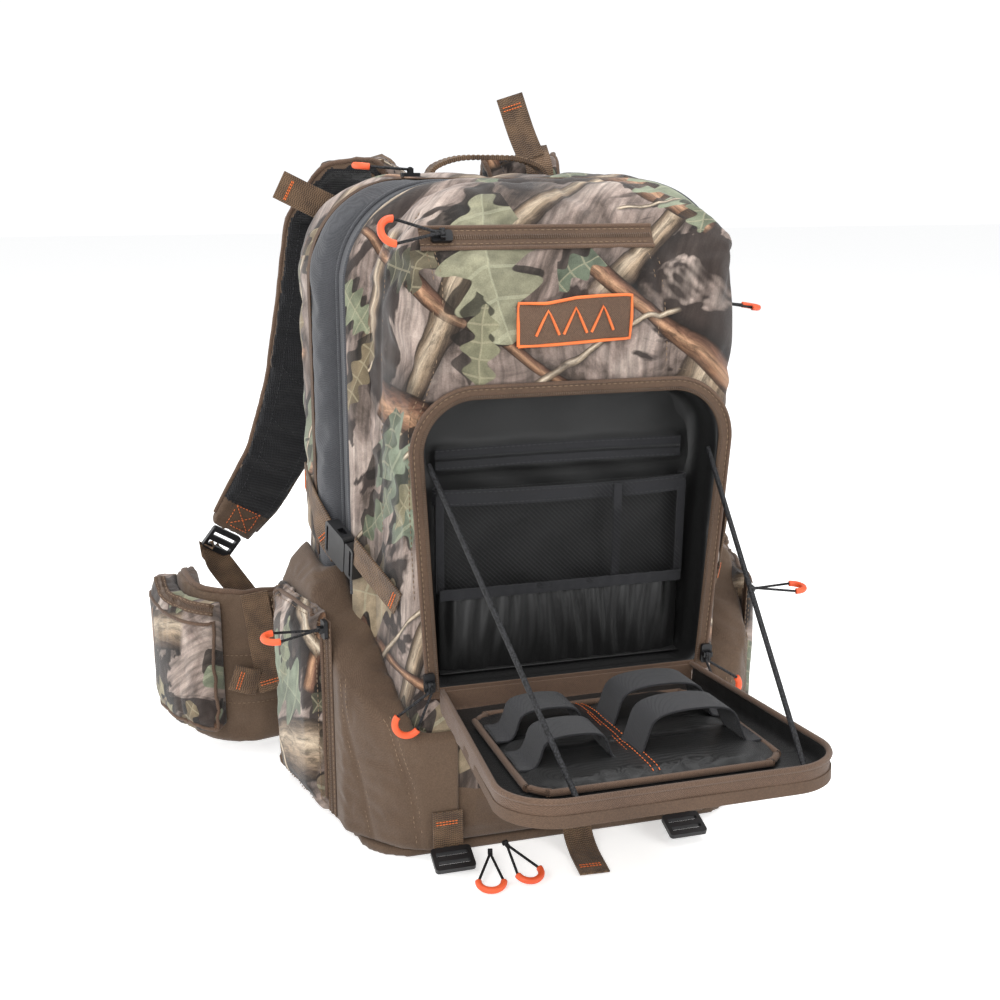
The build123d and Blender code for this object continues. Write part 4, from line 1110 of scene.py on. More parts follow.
def makeLining():
    plan = {"voxel": 3.5 * mm, "rounding": 1, "pressure": 0, "subdivide": False}
    back = softSkin("organizer_lining", "organizerLining", plan)
    co = places(back)
    normal = vertexNormals(back)
    wave = np.sin(co[:, 0] * 95 + np.sin(co[:, 2] * 60) * 1.4) * np.sin(co[:, 2] * 72 + 0.8) * 1.1 * mm
    co -= np.abs(normal[:, 1:2]) * wave[:, None] * np.array((0, 1, 0))
    setPlaces(back, co)
    paint(back, [finish["satin"]])
    settle(back, "organizerLining", "pack", ["organizer_lining"])
    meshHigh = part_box("mesh_pocket")[1]
    z = meshHigh.z + 22 * mm
    y = liningLow.y - 0.6 * mm
    half = meshHigh.x
    line = [(-half, y, z), (0, y, z + 1 * mm), (half, y, z)]
    run = makeRun(line, across=(0, 0, 1))
    tape = flatStrip(run["length"], 17 * mm, 1.0 * mm)
    lay(tape, run)
    paint(tape, [finish["elastic"]])
    soften(tape)
    coil = teethRow(run, 4.2 * mm, 1.5 * mm)
    paint(coil, [finish["blackCoil"]])
    settle(tape, "securityZipTape", "pack")
    settle(coil, "securityZipCoil", "pack")
    for side in (-7 * mm, 7 * mm):
        keepSewing("pack", "blackThread", thread(run, 0, run["length"], side=side, height=0.5 * mm))


def teethRow(run, wide, pitch, side=0.0, lift=0.4 * mm, start=0.0, end=None):
    # one bent tooth of the coil, repeated by an array and laid on the run
    end = run["length"] if end is None else end
    bpy.ops.mesh.primitive_uv_sphere_add(segments=6, ring_count=4, radius=0.5)
    tooth = bpy.context.view_layer.objects.active
    co = places(tooth)
    co = np.stack([co[:, 0] * pitch * 0.84 + start + pitch / 2, co[:, 2] * wide + side,
                   co[:, 1] * 1.7 * mm + lift], 1)
    setPlaces(tooth, co)
    count = int((end - start) / pitch)
    modify(tooth, "ARRAY", count=count, use_relative_offset=False, use_constant_offset=True,
           constant_offset_displace=(pitch, 0, 0))
    lay(tooth, run)
    soften(tooth, 60)
    return tooth


def makeMeshPocket():
    plan = {"pitch": 2.7 * mm, "yarn": 0.55 * mm, "bulge": 4 * mm, "band": 13 * mm}
    low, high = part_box("mesh_pocket")
    wide, tall = high.x - low.x, high.z - low.z
    bpy.ops.mesh.primitive_grid_add(x_subdivisions=int(1.5 * wide / plan["pitch"]),
                                    y_subdivisions=int(1.5 * wide / plan["pitch"]), size=1.5 * wide,
                                    rotation=(0, 0, math.radians(45)))
    net = bpy.context.view_layer.objects.active
    only(net)
    bpy.ops.object.transform_apply(location=True, rotation=True, scale=True)
    bpy.ops.object.mode_set(mode="EDIT")
    for place, facing in (((-wide / 2, 0, 0), (-1, 0, 0)), ((wide / 2, 0, 0), (1, 0, 0)),
                          ((0, -tall / 2, 0), (0, -1, 0)), ((0, tall / 2, 0), (0, 1, 0))):
        bpy.ops.mesh.select_all(action="SELECT")
        bpy.ops.mesh.bisect(plane_co=place, plane_no=facing, clear_outer=True)
    bpy.ops.object.mode_set(mode="OBJECT")
    co = places(net)
    middle = (low + high) / 2
    across, up = co[:, 0] / wide, co[:, 1] / tall
    ripple = 1.2 * mm * np.sin(across * 31 + up * 4) * (0.5 - up)
    bulge = plan["bulge"] * np.cos(across * math.pi) * (0.6 - up) + ripple
    setPlaces(net, np.stack([co[:, 0] + middle.x, low.y - bulge + 1 * mm, co[:, 1] + middle.z], 1))
    modify(net, "WIREFRAME", thickness=plan["yarn"], use_even_offset=False)
    paint(net, [finish["netting"]])
    settle(net, "meshPocketNet", "pack", ["mesh_pocket"])
    y = low.y + 0.5 * mm
    top = high.z - plan["band"] / 2
    edge = [(low.x, low.y + 11 * mm, top), (low.x + 2 * mm, y, top),
            (-40 * mm, y - 1.5 * mm, top - 1.5 * mm),
            (44 * mm, y + 1 * mm, top - 2.5 * mm), (high.x - 2 * mm, y, top),
            (high.x, low.y + 11 * mm, top)]
    band, run = strip(edge, (0, 0, 1), plan["band"], 1.6 * mm, "elastic")
    settle(band, "meshPocketBand", "pack")
    for side in (-4.6 * mm, 4.6 * mm):
        keepSewing("pack", "blackThread", thread(run, 0, run["length"], side=side, height=0.9 * mm))
    for x in (low.x + 1.5 * mm, 46 * mm, high.x - 1.5 * mm):
        tape, _ = strip([(x, y + 0.5 * mm, low.z), (x, y - 0.5 * mm, high.z - 4 * mm)], (1, 0, 0), 7 * mm,
                        1.4 * mm,
                        "elastic", smooth=False)
        settle(tape, "meshPocketTape." + str(int(x * 1000) + 200), "pack")
    for x in (low.x, high.x):
        side, _ = strip([(x, low.y, middle.z), (x, liningLow.y, middle.z)], (0, 0, 1), tall, 1.0 * mm,
                        "satin",
                        smooth=False)
        settle(side, "meshPocketSide." + str(int(x * 1000) + 200), "pack")


def makeGatheredPocket():
    plan = {"pitch": 1.9 * mm, "gathers": 17, "depth": 3.4 * mm, "band": 9 * mm}
    low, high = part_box("gathered_pocket")
    half = high.x

    def shape(across, up):
        # folds are tight under the band and open out below it
        drift = across * plan["gathers"] * 2 * math.pi + np.sin(across * 9 + up * 2.2) * 2.1
        fold = np.sin(drift) * (0.35 + 0.65 * up) + 0.5 * np.sin(drift * 0.43 + up * 5)
        puff = np.sin(np.clip(up, 0, 1) * math.pi) ** 0.7 * 4.5 * mm
        edge = np.clip(np.minimum(across, 1 - across) * 12, 0, 1)
        return (fold * plan["depth"] * 0.55 + puff) * edge - 5.2 * mm * (1 - edge) - 1.2 * mm

    cloth = clothPanel("gatheredPocket", -half, half, low.y + 3.5 * mm, low.z, high.z - plan["band"] / 2,
                       plan["pitch"],
                       shape)
    modify(cloth, "SOLIDIFY", thickness=0.7 * mm, offset=0)
    modify(cloth, "SMOOTH", factor=0.5, iterations=1)
    only(cloth)
    bpy.ops.object.shade_smooth()
    paint(cloth, [finish["satin"]])
    settle(cloth, "gatheredPocket", "pack", ["gathered_pocket"])
    count = 40
    edge = []
    for step in range(count + 1):
        share = step / count
        wave = math.sin(share * plan["gathers"] * 2 * math.pi + math.sin(share * 9 + 2.2) * 2.1)
        edge.append((-half + 2 * half * share, low.y + 1.6 * mm - wave * 0.9 * mm,
                     high.z - plan["band"] / 2))
    band, _ = strip(edge, (0, 0, 1), plan["band"], 1.5 * mm, "elastic")
    settle(band, "gatheredPocketBand", "pack")
    floor, _ = strip([(-half, low.y + 9 * mm, low.z + 0.8 * mm), (half, low.y + 9 * mm, low.z + 0.8 * mm)],
                     (0, 1, 0),
                     17 * mm, 1.2 * mm, "satin", smooth=False)
    settle(floor, "gatheredPocketFloor", "pack")


# drop-down flap

flap = {"openDegrees": 84, "depth": 18 * mm, "wall": 3 * mm, "hingeY": frontY - 1 * mm, "length": 230 * mm}
flapTilt = math.radians(flap["openDegrees"])


def flapPlace(x, up, out):
    # a point of the closed flap: up from the hinge line, out towards the bag's inside
    y = out * math.cos(flapTilt) - up * math.sin(flapTilt)
    z = out * math.sin(flapTilt) + up * math.cos(flapTilt)
    return (x, flap["hingeY"] + y, opening["low"] + z)


def flapInside(co):
    y, z = co[:, 1] - flap["hingeY"], co[:, 2] - opening["low"]
    out = y * math.cos(flapTilt) + z * math.sin(flapTilt)
    up = -y * math.sin(flapTilt) + z * math.cos(flapTilt)
    return co[:, 0], up, out


flapUp = np.array(flapPlace(0, 1, 0)) - np.array(flapPlace(0, 0, 0))
flapOut = np.array(flapPlace(0, 0, 1)) - np.array(flapPlace(0, 0, 0))


def makeFlapTray():
    plan = {"voxel": 1.9 * mm, "rounding": 3, "pressure": 0, "subdivide": False, "folds": (0.03, 1.4 * mm)}
    tray = softSkin("flap_shell", "flapTray", plan, outer=False)
    centre, normal = faceArrays(tray)
    x, up, out = flapInside(centre)
    facing = normal @ flapOut
    half = opening["halfLow"] + up / flap["length"] * (opening["halfHigh"] - opening["halfLow"])
    under = (facing < -0.55) & (out < -flap["depth"] + 2.2 * mm)
    outerSide = (np.abs(x) > half - 3.0 * mm) | (up > flap["length"] - 3.4 * mm)
    outerSide |= (np.abs(x) > half - 38 * mm) & (up > flap["length"] - 40 * mm) & (
        np.hypot(np.abs(x) - (half - 40 * mm), up - (flap["length"] - 40 * mm)) > 36.6 * mm)
    sideways, endways = normal[:, 0] * np.sign(x), normal @ flapUp
    inner = (sideways < -0.35) | ((endways < -0.35) & (up > flap["length"] * 0.6))
    brown = outerSide & ~under & ~inner
    paint(tray, [finish["satin"], finish["frontCamo"], finish["brownBinding"]],
          np.where(under, 1, np.where(brown, 2, 0)))
    settle(tray, "flapTray", "flap", ["flap_shell"])


def flapRim(grow, out):
    line = []
    for x, _, z in openingLine(grow, 0):
        line.append(flapPlace(x, z - opening["low"], out))
    return line


def makeFlapRim():
    # brown zip tape round the rim with its half of the coil standing out
    line = flapRim(-0.8 * mm, -flap["depth"] + 4.5 * mm)
    run = makeRun(line, across=tuple(flapOut))
    tape = flatStrip(run["length"], 8.5 * mm, 1.1 * mm, rows=3)
    lay(tape, run)
    paint(tape, [finish["zipTape"]])
    soften(tape)
    coil = teethRow(run, 3.2 * mm, 1.7 * mm, side=-2.6 * mm, lift=-0.9 * mm)
    paint(coil, [finish["coil"]])
    settle(tape, "flapZipTape", "flap", ["flap_zip"])
    settle(coil, "flapZipCoil", "flap")
    keepSewing("flap", "brownThread", thread(run, 0, run["length"], side=3.0 * mm, height=-0.7 * mm))
    rim = makeRun(flapRim(-1.8 * mm, -0.6 * mm), across=tuple(flapOut))
    keepSewing("flap", "brownBinding", piping(rim, 2.3 * mm))
    web = makeRun([flapPlace(-opening["halfLow"] + 2 * mm, 0.6 * mm, -9 * mm),
                   flapPlace(opening["halfLow"] - 2 * mm, 0.6 * mm, -9 * mm)], across=tuple(flapOut))
    hinge = flatStrip(web["length"], 17 * mm, 1.2 * mm, rows=4)
    lay(hinge, web)
    paint(hinge, [finish["brownBinding"]])
    soften(hinge)
    settle(hinge, "flapHingeTape", "flap")


def makeFlapBoard():
    plan = {"voxel": 3 * mm, "rounding": 3, "pressure": 6.0, "cap": 3.2 * mm, "slack": 0.03,
            "held": lambda co: flapInside(co)[2] < -flap["depth"] + flap["wall"] + 1.5 * mm,
            "folds": (0.03, 1.0 * mm)}
    pad = softSkin("flap_board", "flapBoard", plan)
    paint(pad, [finish["satin"]])
    settle(pad, "flapBoard", "flap", ["flap_board"])
    halfWide, start, length, radius = 92 * mm, 32 * mm, 158 * mm, 22 * mm
    out = -flap["depth"] + flap["wall"] + 3.4 * mm
    edge = [flapPlace(x, start + length / 2 + up, out) for x,
            up in roundedRing(halfWide, length / 2, radius)]
    run = makeRun(edge, outward=tuple(flapOut), closed=True)
    keepSewing("flap", "brownBinding", piping(run, 2.6 * mm))
    inner = [flapPlace(-6 * mm, start + 4 * mm, out + 3 * mm),
             flapPlace(-2 * mm, start + length - 4 * mm, out + 3 * mm)]
    tree = skinTree(pad)
    seam = onSkin(tree, inner, lift=0.2 * mm)
    for side in (-2.4 * mm, 2.4 * mm):
        keepSewing("flap", "orangeThread", thread(seam, 0, seam["length"], side=side, height=0.4 * mm))


def makeFlapLoops():
    # two wide elastic bands; each stands in a small and a large arch, sewn down between them
    plan = {"wide": 36 * mm, "rows": (50 * mm, 102 * mm), "arches": ((-50, 52, 22), (38, 74, 30))}
    seat = -flap["depth"] + flap["wall"] + 5 * mm + 1.6 * mm
    bands = []
    for row, up in enumerate(plan["rows"]):
        middle = 32 * mm + up
        line = [(-90, 0)]
        for centre, wide, rise in plan["arches"]:
            half = wide / 2
            line += [(centre - half - 4, 0), (centre - half + 0.6, rise * 0.28),
                     (centre - half * 0.8, rise * 0.78),
                     (centre - half * 0.36, rise - 1.4), (centre + half * 0.36, rise - 1.4),
                     (centre + half * 0.8, rise * 0.78), (centre + half - 0.6, rise * 0.28),
                     (centre + half + 4, 0)]
        line += [(90, 0)]
        points = [flapPlace(x * mm, middle + (4 * mm if row else 0), seat + h * mm) for x, h in line]
        band, _ = strip(points, tuple(flapUp), plan["wide"], 1.6 * mm, "elastic")
        bands.append(band)
        for x in (-90 * mm, -9 * mm, 88 * mm):
            ends = [flapPlace(x, middle + side * plan["wide"] * 0.46, seat + 0.9 * mm) for side in (-1, 1)]
            tack = makeRun(ends, outward=tuple(flapOut))
            topstitch(tack, "flap", "orangeThread" if x == -9 * mm else "blackThread", height=0.6 * mm)
    made = join("flapElastic", bands)
    settle(made, "flapElastic", "flap", ["flap_loops"])


makeLining()
makeMeshPocket()
makeGatheredPocket()
print("organizer sewn")
makeFlapTray()
makeFlapRim()
makeFlapBoard()
makeFlapLoops()
print("flap sewn")


# zips, sliders and pulls

def zipLine(name, run, node, body="pack", wide=14 * mm, pitch=1.7 * mm, side=0.0, tooth=4.4 * mm):
    # a ribbon with its coil and a row of stitches; side shifts the coil off the middle
    ribbon = flatStrip(run["length"], wide, 0.9 * mm, rows=4)
    lay(ribbon, run)
    paint(ribbon, [finish["zipTape"]])
    soften(ribbon)
    teeth = teethRow(run, tooth, pitch, side=side, lift=0.7 * mm)
    paint(teeth, [finish["coil"]])
    settle(ribbon, name + "Tape", body, node)
    settle(teeth, name + "Coil", body)
    for edge in (-wide / 2 + 1.6 * mm, wide / 2 - 1.6 * mm):
        if abs(edge - side) > 3 * mm:
            keepSewing(body, "brownThread", thread(run, 0, run["length"], side=edge, height=0.6 * mm))


def makeZips():
    # main zip over the top of the rear compartment
    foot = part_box("body_zips")[0].z
    line = bagLine(mainHigh.x + 0.9 * mm, mainHigh.z + 0.9 * mm, 81 * mm, mainZipY, foot)
    zipLine("mainZip", makeRun(line, across=(0, -1, 0)), ["body_zips"])
    # zip of the top pocket, on the slope; rolled edges of cloth stand on both sides
    slopeTilt = math.atan2(slope["setBack"], slope["high"] - slope["low"])
    mid = np.array((0, frontY + slope["setBack"] / 2, (slope["low"] + slope["high"]) / 2))
    face = np.array((0, -math.cos(slopeTilt), math.sin(slopeTilt)))
    rise = np.array((0, math.sin(slopeTilt), math.cos(slopeTilt)))
    ends = [mid + np.array((x * mm, 0, 0)) + face * 0.9 * mm for x in (-118, -28, 62)]
    run = makeRun(ends, outward=tuple(face))
    zipLine("topZip", run, ())
    for offset in (-8.5 * mm, 8.5 * mm):
        edge = makeRun([p + rise * offset for p in ends], outward=tuple(face))
        keepSewing("pack", "brownBinding", piping(edge, 1.7 * mm))
    # half zip round the organizer's opening, coil at its inner edge, and the brown binding
    line = openingLine(5.0 * mm, frontY - 1.2 * mm)
    frameRun = makeRun(line, outward=(0, -1, 0))
    zipLine("openingZip", frameRun, ["organizer_zip"], side=-2.6 * mm, tooth=3.0 * mm, wide=9 * mm)
    bindingRun = makeRun(openingLine(10.2 * mm, frontY - 1.4 * mm), outward=(0, -1, 0))
    keepSewing("pack", "brownBinding", piping(bindingRun, 1.5 * mm))
    sill = makeRun([(-opening["halfLow"] - 13 * mm, frontY - 0.4 * mm, opening["low"] - 2 * mm),
                    (opening["halfLow"] + 13 * mm, frontY - 0.4 * mm, opening["low"] - 2 * mm)],
                    across=(0, 0, 1))
    sillTape = flatStrip(sill["length"], 9 * mm, 1.2 * mm, rows=3)
    lay(sillTape, sill)
    paint(sillTape, [finish["brownBinding"]])
    soften(sillTape)
    settle(sillTape, "openingSill", "pack")
    # pod zips
    for side in (-1, 1):
        centre, _, out = podFrame(side)
        tape = places(frame["nodes"]["pod_zips"])
        tape = tape[tape[:, 0] * side > 0]
        low, high = tape[:, 2].min(), tape[:, 2].max()
        foot = np.array((centre[0], centre[1], 0)) + out * 0.3 * mm
        line = [foot + np.array((0, 0, z)) for z in np.linspace(low, high, 5)]
        zipLine("podZip" + ("Left" if side < 0 else "Right"), makeRun(line, outward=tuple(out)),
                ["pod_zips"] if side < 0 else ())


def makePull(node, slider):
    # black cord through a curved rubber grip; the CAD copy gets a look for each
    pull = nodeCopy(node, node.replace("_", "-") + "-pull", outer=False)
    centre, _ = faceArrays(pull)
    if slider:
        low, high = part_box(slider)
        anchor = np.array((low + high) / 2)
        start = places(pull)[np.argmin(np.linalg.norm(places(pull) - anchor, axis=1))]
        away = np.linalg.norm(centre - start, axis=1)
        rubber = away > 34.6 * mm
    paint(pull, [finish["braid"], finish["rubber"]], rubber.astype(int))
    soften(pull, 50)
    return pull


def makePulls():
    pairs = {"top_pull": "top_slider", "main_pull_left": "main_slider_left",
             "main_pull_right": "main_slider_right",
             "flap_pull_left": "flap_slider_left", "flap_pull_right": "flap_slider_right",
             "pod_pull_left": "pod_slider_left", "pod_pull_right": "pod_slider_right"}
    bodies = {node: body for body,
              nodes in frame["record"]["behaviour"]["bodies"].items() for node in nodes}
    for node, slider in pairs.items():
        settle(makePull(node, slider), node.replace("_", "-") + "-pull", bodies[node],
               [node])
        look(frame["nodes"][slider], "zinc")
    loose = nodeCopy("base_pulls", "basePulls", outer=False)
    centre, _ = faceArrays(loose)
    rubber = centre[:, 1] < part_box("base_pulls")[0].y + 17 * mm
    paint(loose, [finish["braid"], finish["rubber"]], rubber.astype(int))
    soften(loose, 50)
    settle(loose, "basePulls", "pack", ["base_pulls"])


def look(node, name):
    # gives a CAD node its finish without touching its mesh
    if not node.data.materials:
        node.data.materials.append(finish[name])
    for index in range(len(node.material_slots)):
        node.material_slots[index].material = finish[name]


makeZips()
makePulls()
for node in ("pack_buckles", "buckle_plug_left", "buckle_plug_right", "hip_buckle_left", "hip_buckle_right",
             "strap_lock_left", "strap_lock_right"):
    look(frame["nodes"][node], "acetal")
look(frame["nodes"]["frame_sheet"], "sheet")
print("zips, sliders, pulls and buckles ready")


# shoulder straps, back panel and hip belt

strapPaths = {
    -1: [(-62, 132, 452), (-74, 136, 506), (-98, 144, 538), (-134, 155, 532), (-158, 165, 492),
         (-164, 171, 420),
         (-176, 177, 340), (-196, 183, 272), (-222, 187, 228), (-246, 189, 196)],
    1: [(44, 132, 460), (38, 137, 516), (34, 150, 545), (40, 175, 540), (62, 197, 480), (94, 207, 400),
        (122, 209, 320), (146, 205, 248), (162, 199, 196)],
}
strapAcross = {
    -1: [(1, 0, 0), (1, 0.1, -0.3), (0.75, 0.5, -0.4), (0.6, 0.7, -0.2), (0.9, 0.5, 0.3), (1, 0.3, 0.1),
         (1, 0.15, 0.1),
         (1, 0.1, 0.3), (1, 0.1, 0.5), (1, 0.1, 0.6)],
    1: [(1, 0, 0)] * 4 + [(1, 0.1, 0.3)] * 5,
}
strapWide = {-1: [46, 54, 62, 60, 60, 60, 60, 60, 58, 46], 1: [50, 60, 72, 72, 60, 60, 60, 56, 46]}


def strapRun(side, offset=0.0, lift=0.0):
    # the strap's middle line, or its edge where offset is 1 or -1 of the half width
    points, waves = [], []
    path, across, wide = strapPaths[side], strapAcross[side], strapWide[side]
    for i, p in enumerate(path):
        before, after = np.array(path[max(i - 1, 0)], float), np.array(path[min(i + 1, len(path) - 1)],
                                                                       float)
        t = (after - before) / np.linalg.norm(after - before)
        w = np.array(across[i], float)
        w -= t * (w @ t)
        w /= np.linalg.norm(w)
        n = np.cross(t, w)
        points.append((np.array(p) + w * offset * wide[i] / 2 + n * lift / mm) * mm)
        waves.append(w)
    return makeRun(points, across=waves)


def makeStrap(side):
    name = "left" if side < 0 else "right"
    node, body = "shoulder_strap_" + name, "strap_" + name
    edges = [strapRun(side, o)["p"][::6] for o in (-0.98, 0.98)]

    def held(co):
        near = np.full(len(co), 1e9)
        for edge in edges:
            near = np.minimum(near, lineDistance(co, edge))
        return near < 4 * mm

    plan = {"voxel": 4 * mm, "rounding": 5, "held": held, "pressure": 6.0, "cap": 3.5 * mm, "slack": 0.03,
            "folds": (0.04, 1.6 * mm)}
    skin = softSkin(node, "strap" + name.capitalize(), plan)
    middle = strapRun(side)
    centre, normal = faceArrays(skin)
    stations = middle["p"][::4]
    nearest = np.array([np.argmin(((stations - c) ** 2).sum(1)) for c in centre])
    crest = middle["n"][int(np.argmax(middle["p"][:, 2]))][2]
    facing = (normal * middle["n"][::4][nearest]).sum(1) * np.sign(crest)
    lowEnd = nearest > len(stations) * 0.90
    choice = np.where(np.abs(facing) < 0.25, 1, np.where(facing > 0, 2, 0))
    paint(skin, [finish["airMesh"], finish["brownOxford"], finish["strapCamo"]],
          np.where(lowEnd, 1, choice))
    settle(skin, "strap" + name.capitalize(), body, [node])
    tree = skinTree(skin)
    for o in (-0.97, 0.97):
        edge = onSkin(tree, strapRun(side, o)["p"][4:-4:5])
        keepSewing(body, "brownBinding", piping(edge, 2.3 * mm, lift=0.3 * mm))
    for lift in (-9 * mm, 9 * mm):
        # quilted rungs and the lines along both edges
        for o in (-0.66, 0.66):
            line = onSkin(tree, strapRun(side, o, lift)["p"][10:-14:6])
            topstitch(line, body, "blackThread", height=0.3 * mm)
        both = [strapRun(side, o, lift)["p"] for o in (-0.66, 0, 0.66)]
        count = 13
        for rung in range(3, count):
            at = int(len(both[0]) * (rung / (count + 1)))
            drop = min(at + 4, len(both[1]) - 1)
            line = onSkin(tree, [both[0][at], both[1][drop], both[2][at]])
            topstitch(line, body, "blackThread", height=0.3 * mm)
    # box with a cross at the lower end, in orange
    for lift in (-9 * mm, 9 * mm):
        corners = []
        for o, share in ((-0.5, 0.915), (0.5, 0.915), (0.5, 0.975), (-0.5, 0.975)):
            run = strapRun(side, o, lift)["p"]
            corners.append(run[int(len(run) * share)])
        for a, b in ((0, 1), (1, 2), (2, 3), (3, 0), (0, 2), (1, 3)):
            line = onSkin(tree, [corners[a], (corners[a] + corners[b]) / 2, corners[b]])
            topstitch(line, body, "orangeThread", height=0.5 * mm, dash=2.6 * mm, gap=0.9 * mm,
                      thick=1.0 * mm)


def makeBackPanel():
    plan = {"voxel": 5 * mm, "rounding": 4, "held": lambda co: co[:, 1] < backY + 3 * mm, "pressure": 6.0,
            "cap": 4 * mm, "slack": 0.03, "folds": (0.05, 1.2 * mm)}
    pad = softSkin("back_pad", "backPad", plan, outer=False)
    paint(pad, [finish["airMesh"]])
    settle(pad, "backPad", "pack", ["back_pad"])
    tree = skinTree(pad)
    low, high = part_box("back_pad")
    y = high.y + 4 * mm
    for side in (-1, 1):
        for z in (0.21, 0.26, 0.31, 0.36, 0.405):
            line = onSkin(tree, [(side * x * mm, y, z) for x in (18, 68, 118)])
            topstitch(line, "pack", "blackThread", height=0.3 * mm)
        ring = [(side * x * mm, y, z * mm) for x,
                z in ((22, 168), (68, 164), (114, 168), (117, 290), (114, 418),
                                                        (68, 422), (22, 418), (19, 290))]
        line = onSkin(tree, ring, closed=True)
        keepSewing("pack", "brownBinding", piping(line, 1.8 * mm))
    for z in (0.05, 0.08, 0.11):
        line = onSkin(tree, [(x * mm, y, z) for x in (-96, 0, 96)])
        topstitch(line, "pack", "blackThread", height=0.3 * mm)
    yoke = softSkin("shoulder_yoke", "shoulderYoke", {"voxel": 2.4 * mm, "rounding": 2, "pressure": 0,
                                                      "subdivide": False})
    paint(yoke, [finish["brownOxford"]])
    settle(yoke, "shoulderYoke", "pack", ["shoulder_yoke"])
    low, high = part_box("shoulder_yoke")
    for z in (low.z + 5 * mm, high.z - 5 * mm):
        run = makeRun([(low.x + 8 * mm, high.y + 0.2 * mm, z), (high.x - 8 * mm, high.y + 0.2 * mm, z)],
                      outward=(0, 1, 0))
        topstitch(run, "pack", "orangeThread", height=0.3 * mm)


hipPath = [(-152, 124), (-188, 123), (-220, 112), (-252, 112), (-281, 136), (-291, 185), (-282, 237)]
rightFold = math.radians(32)


def hipPlace(side, x, y, z):
    # the right wing mirrors the left one and is turned in about its hinge
    if side < 0:
        return (x * mm, y * mm, z * mm)
    px, py = -x - 152, y - 124
    return ((152 + px * math.cos(rightFold) - py * math.sin(rightFold)) * mm,
            (124 + px * math.sin(rightFold) + py * math.cos(rightFold)) * mm, z * mm)


def makeHipWing(side):
    name = "left" if side < 0 else "right"
    node, body = "hip_wing_" + name, "hip_belt_" + name
    channels = [[hipPlace(side, x, y + s, z) for x, y in hipPath] for z in (52, 100) for s in (-7, 7)]

    def held(co):
        near = np.full(len(co), 1e9)
        for line in channels:
            near = np.minimum(near, lineDistance(co, np.array(line)))
        return (near < 4 * mm) | nearNode(co, "hip_pocket_" + name, 5 * mm)

    plan = {"voxel": 4.5 * mm, "rounding": 4, "held": held, "pressure": 6.0, "cap": 5 * mm, "slack": 0.03,
            "folds": (0.045, 1.8 * mm)}
    wing = softSkin(node, "hipWing" + name.capitalize(), plan)
    paint(wing, [finish["brownOxford"]])
    settle(wing, "hipWing" + name.capitalize(), body, [node])
    tree = skinTree(wing)
    top = [hipPlace(side, x, y, 164 - max(0, (y - 175) * 0.33)) for x, y in hipPath]
    keepSewing(body, "brownBinding", piping(onSkin(tree, top), 3.4 * mm))
    bottom = [hipPlace(side, x, y, 10 + max(0, (y - 135) * 0.34)) for x, y in hipPath]
    keepSewing(body, "brownBinding", piping(onSkin(tree, bottom), 3.0 * mm))
    for line in channels:
        run = onSkin(tree, line)
        topstitch(run, body, "brownThread", height=0.3 * mm)


def makeHipPocket(side):
    name = "left" if side < 0 else "right"
    node, body = "hip_pocket_" + name, "hip_belt_" + name

    def held(points):
        return nearNode(points, "hip_wing_" + name, 6 * mm)

    plan = {"voxel": 3.5 * mm, "rounding": 5, "held": held, "pressure": 7.0, "cap": 5 * mm, "slack": 0.04,
            "folds": (0.03, 1.8 * mm)}
    pouch = softSkin(node, "hipPocket" + name.capitalize(), plan)
    paint(pouch, [finish["podCamo"]])
    settle(pouch, "hipPocket" + name.capitalize(), body, [node])
    tree = skinTree(pouch)
    # zip over the top edge, piping round the face
    face = [(-266, 88, 148), (-288, 96, 151), (-306, 122, 151), (-313, 158, 150), (-314, 190, 148)]
    top = onSkin(tree, [hipPlace(side, x, y, z + 4) for x, y, z in face], lift=0.6 * mm)
    zipLine("hipZip" + name.capitalize(), top, (), body=body, wide=11 * mm)
    for level in (139, 34):
        ring = [hipPlace(side, x - 3, y - 2, level) for x, y, _ in face]
        keepSewing(body, "brownBinding", piping(onSkin(tree, ring), 1.8 * mm))
    for x, y in ((-266, 86), (-316, 196)):
        upright = [hipPlace(side, x, y, z) for z in (36, 60, 90, 120, 140)]
        keepSewing(body, "brownBinding", piping(onSkin(tree, upright), 1.8 * mm))


for side in (-1, 1):
    makeStrap(side)
print("shoulder straps sewn")
makeBackPanel()
for side in (-1, 1):
    makeHipWing(side)
    makeHipPocket(side)
print("back panel and hip belt sewn")


# webbing, handle, cords and patch

def bartack(run, at, body, look="orangeThread", wide=20 * mm, rows=2, height=1.2 * mm):
    # a dense bar of stitches across the webbing, on both faces
    for row in range(rows):
        s = at + row * 2.6 * mm
        index = int(np.clip(np.searchsorted(run["s"], s), 0, len(run["s"]) - 1))
        p, w, n = run["p"][index], run["w"][index], run["n"][index]
        bar = makeRun([p - w * wide / 2, p + w * wide / 2], outward=n)
        for face in (-1, 1):
            topstitch(bar, body, look, height=face * height, dash=2.4 * mm, gap=0.2 * mm, thick=1.1 * mm)


def tied(points):
    return [tuple(v * mm for v in p) for p in points]


